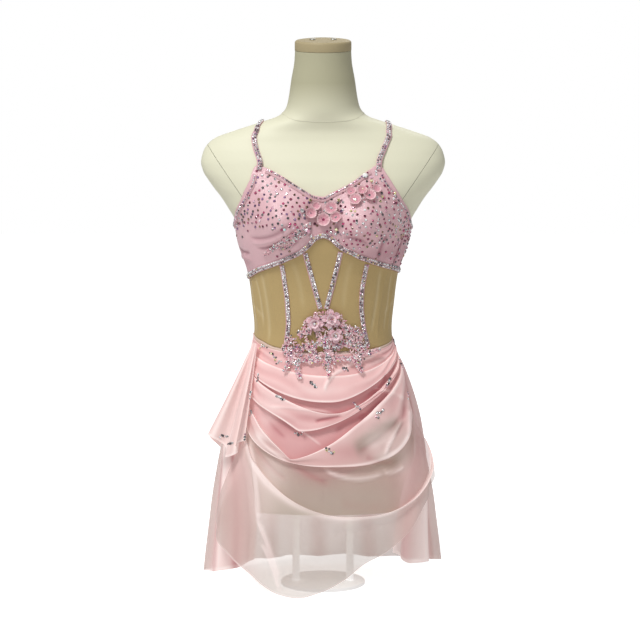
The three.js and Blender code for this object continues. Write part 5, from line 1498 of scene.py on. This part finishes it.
def dishShape(centre, normal, radius, cup, thick, ruffle, seed):
    # a thin cupped petal with a wavy rim, closed all round
    side = unit(np.cross([0, 0, 1.0], normal))
    up = np.cross(normal, side)
    count = 60
    angle = np.arange(count) * 2 * math.pi / count
    rings = []
    for face, order in ((1, dishShares), (0, dishShares[::-1])):
        for ring in order:
            wave = ruffle * ring ** 2 * np.sin(angle * 7 + seed)
            crease = 0.06 * ring * np.cos(angle * 15 + seed) * face
            rise = radius * (cup * ring ** 2 + wave + crease) + face * thick * (1 - 0.5 * ring)
            out = radius * ring
            rings.append(centre + side * (out * np.cos(angle))[:, None] + up * (out * np.sin(angle))[:, None]
                         + normal * rise[:, None])
    return ringStack(np.array(rings))


laceWeights = {
    "silver": 4.5, "white": 4.5, "pink": 3.5, "mauve": 0.8, "grey": 2.6, "rose": 2, "gold": 1, "aqua": 0.2,
}


def makeLace(name, node, leaves, placeAt, lift, petals=None, fill=(), openings=(), beadCount=120):
    body = Joined()
    leaflets = leafletsOf(leaves)
    if len(fill):
        leaflets += leafletsWithin(fill, 4.4)
    leaflets = [row for row in leaflets if all(
        math.hypot(row[0] - ox, (row[1] - oz) * 1.3) > reach + 0.6 * row[3] for ox, oz, reach in openings
    )]
    addLeaflets(body, leaflets, placeAt, lift)
    if petals is not None:
        for index, (across, height, radius, cup) in enumerate(zip(*petals.values())):
            centre, normal = facingOf(np.array([[across, height]]), placeAt, lift + lace["thick"] * 1.1)
            co, faces = dishShape(centre[0], normal[0], radius, cup, thick=0.8, ruffle=0.05, seed=index * 2.3)
            # each petal is painted paler towards its raised rim, a painted highlight where the rim meets the
            # light
            rings = np.concatenate([dishShares, dishShares[::-1]])
            tint = np.clip(0.05 + 0.75 * rings ** 5, 0, 1)
            body.add(co, faces, np.repeat(tint, len(co) // len(rings)))
    piece = body.make(name, materials["laceThread"])
    wear(smoothed(piece, 60), "lace", node)
    rows = np.array(leaflets)[:, :2]
    place = rows[rng.integers(0, len(rows), beadCount)] + rng.normal(0, 1.6, (beadCount, 2))
    for ox, oz, reach in openings:
        place = place[np.hypot(place[:, 0] - ox, (place[:, 1] - oz) * 1.3) > reach]
    centre, normal = facingOf(place, placeAt, lift + lace["thick"] * 1.25)
    normal = unit(normal + rng.normal(0, 0.25, normal.shape))
    radius = rng.choice([0.8, 1.1, 1.5, 1.9], len(centre), p=[0.3, 0.3, 0.28, 0.12])
    stones(name + "Stones", centre, normal, radius, pickColours(laceWeights, len(centre)), sides=7)


waistFill = [
    (-62, 399), (-50, 419), (-34, 436), (-27, 453), (-14, 466), (12, 466), (29, 459), (37, 446),
    (52, 440), (63, 429), (60, 415), (72, 405), (66, 396), (50, 391), (40, 399), (28, 392), (19, 380),
    (10, 371), (2, 378), (-8, 385), (-18, 379), (-30, 384), (-41, 374), (-54, 383), (-63, 391),
]
waistOpenings = [
    (-18, 423, 5.5), (-34, 416, 5), (23, 421, 8), (-6, 403, 4.5), (33, 399, 7), (-29, 398, 4), (-44, 424, 4),
]


def makePetal(flower, centre, normal, direction, long, wide, tilt, tint, seed):
    # one petal: narrow at its root, round at its tip, lifted and cupped
    across = unit(np.cross(normal, direction))
    w, v = np.meshgrid(np.linspace(-1, 1, 11), np.linspace(0, 1, 13))
    half = wide * np.sqrt(np.clip(v * (1.04 - v ** 4), 0.003, 1))
    out = v * long * math.cos(tilt)
    frill = 0.07 * long * v ** 3 * np.sin(w * 7 + seed)
    rise = v * long * math.sin(tilt) + 0.28 * half * w * w - 0.18 * long * v ** 3 + frill
    co = centre + direction * out[..., None] + across * (half * w)[..., None] + normal * rise[..., None]
    pieceCo, faces = shell(co + normal * 0.35, co - normal * 0.35)
    # paler towards the tip and darker at the root and down the middle there: the flower's deeper pink heart,
    # with painted shade where the petals overlap and in the middle crease
    shade = tint + 0.55 * v - 0.25 * np.exp(-((w / 0.22) ** 2)) * (1 - v)
    flower.add(pieceCo, faces, np.tile(np.clip(shade, 0, 1).ravel(), 2))


# Flowers of cloth at the waist: across, height, radius, how far each stands off and how far it is turned.
waistFlowers = {
    "waist_flower_left": (-13, 446, 15, 5.7, 0), "waist_flower_top": (13, 453, 16, 5.7, 30),
    "waist_flower_right": (19, 426, 14, 7.6, 55),
}
# Rings of petals from the outside in: how many, length and width as shares of the radius, tilt and tint.
flowerRings = [(5, 1.0, 0.66, 0.3, 0.1), (5, 0.72, 0.5, 0.75, 0.3), (4, 0.42, 0.36, 1.1, 0.15)]


flowerBeads = {"round": 6, "reach": 2.8, "rise": 4.6, "middleRise": 5.2, "radius": 1.2, "middleRadius": 2.0}


def makeFlowers():
    for node, (across, height, radius, lift, turn) in waistFlowers.items():
        centre, normal = facingOf(np.array([[across, height]]), onFront, lift)
        centre, normal = centre[0], normal[0]
        side = unit(np.cross([0, 0, 1.0], normal))
        up = np.cross(normal, side)
        flower = Joined()
        for ring, (count, long, wide, tilt, tint) in enumerate(flowerRings):
            for petal in range(count):
                a = math.radians(turn + ring * 36 + petal * 360 / count + rng.normal(0, 5))
                direction = side * math.cos(a) + up * math.sin(a)
                makePetal(flower, centre + normal * (0.5 * ring), normal, direction,
                          radius * long * rng.uniform(0.9, 1.08), radius * wide * 0.72,
                          tilt + rng.normal(0, 0.08), tint, petal * 1.9 + ring)
        parts = node.split("_")
        name = parts[0] + parts[1].capitalize() + parts[2].capitalize()
        piece = flower.make(name, materials["petalSatin"])
        wear(smoothed(piece, 60), "lace", node)
        count = flowerBeads["round"]
        turns = np.arange(count) * 2 * math.pi / count
        spokes = np.cos(turns)[:, None] * side + np.sin(turns)[:, None] * up
        ring = centre + normal * flowerBeads["rise"] + flowerBeads["reach"] * spokes
        places = np.vstack([ring, centre + normal * flowerBeads["middleRise"]])
        sizes = np.array([flowerBeads["radius"]] * count + [flowerBeads["middleRadius"]])
        colour = pickColours({"silver": 3, "pink": 2, "gold": 1, "rose": 1, "white": 2}, count + 1)
        stones(name + "Stones", places, np.tile(normal, (count + 1, 1)), sizes, colour, sides=8)


materials["petalSatin"] = clothMaterial("petalSatin", {
    "colour": (0.72, 0.27, 0.36), "shade": (1.0, 0.86, 0.88), "driftScale": 120, "drift": 0.2, "fleck": 0.15,
    "roughness": 0.34, "sheen": 0.1, "specular": 0.6, "yarn": 0.001, "relief": 0.3,
})
makeBodiceStones()
makeLace("waistLace", "waist_lace", waistLeaves, onDrape, lace["lift"], None, waistFill, waistOpenings, 780)
makeLace("bodiceLaceLeft", "bodice_lace_left", bodiceLeavesLeft, onFront, lace["bodiceLift"], beadCount=150)
makeLace("bodiceFlowersCentre", "bodice_flowers_centre", bodiceLeavesCentre, onFront, lace["bodiceLift"],
         centrePetals, beadCount=60)
makeLace("bodiceFlowersRight", "bodice_flowers_right", bodiceLeavesRight, onFront, lace["bodiceLift"],
         rightPetals, beadCount=60)
makeFlowers()
print("lace made")

# Larger crystals on the bodice: across, height, radius and colour.
crystals = [
    (67, 681, 4.6, "white"), (-25.5, 597, 4.4, "pink"), (-35, 627, 3.6, "white"),
    (-31, 620, 2.4, "silver"), (-39, 621, 2.2, "mauve"), (25.5, 643, 2.7, "gold"),
    (76.6, 673, 2.6, "gold"), (-21, 643, 2.6, "gold"), (22, 599, 2.8, "gold"), (92.6, 648, 2.4, "gold"),
    (113, 654, 2.4, "gold"), (13, 594, 2.2, "white"), (30, 626, 2.6, "mauve"),
    (13.5, 631, 2.7, "silver"), (0.5, 613, 2.7, "rose"), (-21, 623, 1.8, "pink"),
    (22, 617, 1.8, "silver"), (52, 643, 2.5, "grey"), (73, 650, 2.5, "grey"), (45, 656, 1.5, "grey"),
    (-20, 588, 2.2, "silver"), (-61, 600, 2.4, "aqua"), (63, 660, 2.4, "gold"),
    (88, 664, 2.0, "silver"),
]


def makeCrystals():
    place = np.array([(row[0], row[1]) for row in crystals], float)
    centre, normal = facingOf(place, onFront, lace["bodiceLift"] + 1.9)
    radius = np.array([row[2] for row in crystals])
    colour = np.array([stoneColours[row[3]] for row in crystals])
    stones("bodiceCrystals", centre, normal, radius, colour, sides=10, tall=0.62)


# Loose clusters of stones on the skirt: middle across and height, how many, spread and direction in degrees.
skirtClusters = [
    (-101, 405, 3, 5, 60), (-108, 357, 3, 4, 90), (-69, 328, 4, 5, -25), (-118, 300, 2, 3, 60),
    (-40, 271, 3, 5, 10), (12, 246, 5, 6, -35), (56, 315, 4, 5, -30), (107, 350, 5, 5, 60),
    (92, 302, 6, 6, 45), (122, 408, 3, 4, 80), (134, 376, 4, 6, 70), (-17, 350, 6, 5, -40),
    (-82, 392, 4, 5, -50), (-72, 382, 3, 4, 30), (36, 373, 4, 4, -30), (62, 386, 3, 4, 20),
    (-95, 412, 2, 3, 0), (141, 324, 2, 4, 75), (88, 410, 3, 3, 30),
]
cascadeClusters = [(-161, 260, 3, 4, 0), (-152, 252, 3, 3, 20), (-126, 263, 2, 3, 90), (-118, 330, 2, 4, 90)]


clusterLook = {"more": 1.7, "wider": 1.3, "off": 0.3, "near": 2.2, "lift": 0.3, "radius": (1.5, 2.4)}


def clusterStones(name, clusters, co):
    normal = gridNormals(co)
    centre, facing = [], []
    for across, height, count, spread, turn in clusters:
        count, spread = round(clusterLook["more"] * count), clusterLook["wider"] * spread
        along = np.linspace(-1, 1, count) * spread
        off = rng.uniform(-clusterLook["off"], clusterLook["off"], count) * spread
        c, s = math.cos(math.radians(turn)), math.sin(math.radians(turn))
        for x, z in zip(across + along * c - off * s, height + along * s + off * c):
            near = np.hypot(co[..., 0] - x, co[..., 2] - z)
            front = np.where(near < max(clusterLook["near"], near.min() + 0.5), co[..., 1], np.inf)
            row, column = np.unravel_index(np.argmin(front), front.shape)
            toward = normal[row, column]
            toward = toward if toward[1] < 0 else -toward
            centre.append(co[row, column] + toward * clusterLook["lift"])
            facing.append(toward)
    centre, facing = np.array(centre), np.array(facing)
    radius = rng.uniform(*clusterLook["radius"], len(centre))
    colour = pickColours({"silver": 4, "white": 2, "grey": 3, "pink": 1, "gold": 0.6}, len(centre))
    stones(name, centre, facing, radius, colour, sides=8)


makeCrystals()
clusterStones("skirtStones", skirtClusters, drapeCo)
clusterStones("cascadeStones", cascadeClusters, cascadeCo)
print("stones made")

# Floor, light and camera
studio = {
    "floor": (0.86, 0.86, 0.86, 1), "floorGlow": 0.75, "floorReach": 9000.0,
    "world": (1.0, 1.0, 1.0, 1), "worldStrength": 0.36, "backdrop": 1.0,
    "camera": (-0.005, -3.5, 0.81), "target": (-0.005, 0.0, 0.442), "lens": 120.0,
}
lamps = {
    "key": {"place": (-1.5, -2.2, 4.6), "size": 1.6, "power": 175},
    "fill": {"place": (2.4, -1.8, 1.2), "size": 1.6, "power": 2},
    "rim": {"place": (0.6, 2.2, 2.4), "size": 1.2, "power": 10},
}


def aimAt(place, target):
    return (Vector(target) - Vector(place)).to_track_quat("-Z", "Y").to_euler()


def makeStudio():
    scene = bpy.context.scene
    scene.view_settings.view_transform = "Standard"
    floorMaterial, tree, shader = newMaterial("studioFloor")
    drift = placeGroup(tree, "colourDrift", {
        "Color": studio["floor"], "Scale": 2.0, "Drift": 0.01, "Fleck": 0.0,
    })
    tree.links.new(drift.outputs["Color"], shader.inputs["Base Color"])
    shader.inputs["Roughness"].default_value = 0.8
    # the floor looks white to the camera without lighting the object from below
    shader.inputs["Emission Color"].default_value = (1, 1, 1, 1)
    seen = addNode(tree, "LightPath")
    glow = addNode(
        tree, "Math", {0: seen.outputs["Is Camera Ray"], 1: studio["floorGlow"]}, operation="MULTIPLY"
    )
    tree.links.new(glow.outputs[0], shader.inputs["Emission Strength"])
    corners = np.array([(-1, -1, 0), (1, -1, 0), (1, 1, 0), (-1, 1, 0)]) * studio["floorReach"]
    floor = addMesh("floor", corners, [[0, 1, 2, 3]], floorMaterial)
    world = scene.world or bpy.data.worlds.new("studioWorld")
    scene.world = world
    world.use_nodes = True
    worldTree = world.node_tree
    background = worldTree.nodes["Background"]
    background.inputs["Color"].default_value = studio["world"]
    # the backdrop is white behind the object, and lights it more softly
    ray = addNode(worldTree, "LightPath")
    strength = addNode(worldTree, "MapRange", {
        "Value": ray.outputs["Is Camera Ray"],
        "To Min": studio["worldStrength"], "To Max": studio["backdrop"],
    })
    worldTree.links.new(strength.outputs["Result"], background.inputs["Strength"])
    for name, lamp in lamps.items():
        light = bpy.data.lights.new(name, "AREA")
        light.shape, light.size, light.energy = "DISK", lamp["size"], lamp["power"]
        holder = bpy.data.objects.new(name, light)
        holder.location = lamp["place"]
        holder.rotation_euler = aimAt(lamp["place"], studio["target"])
        scene.collection.objects.link(holder)
    camera = bpy.data.cameras.new("camera")
    camera.lens, camera.sensor_width = studio["lens"], 36.0
    holder = bpy.data.objects.new("camera", camera)
    holder.location = studio["camera"]
    holder.rotation_euler = aimAt(studio["camera"], studio["target"])
    scene.collection.objects.link(holder)
    scene.camera = holder


makeStudio()
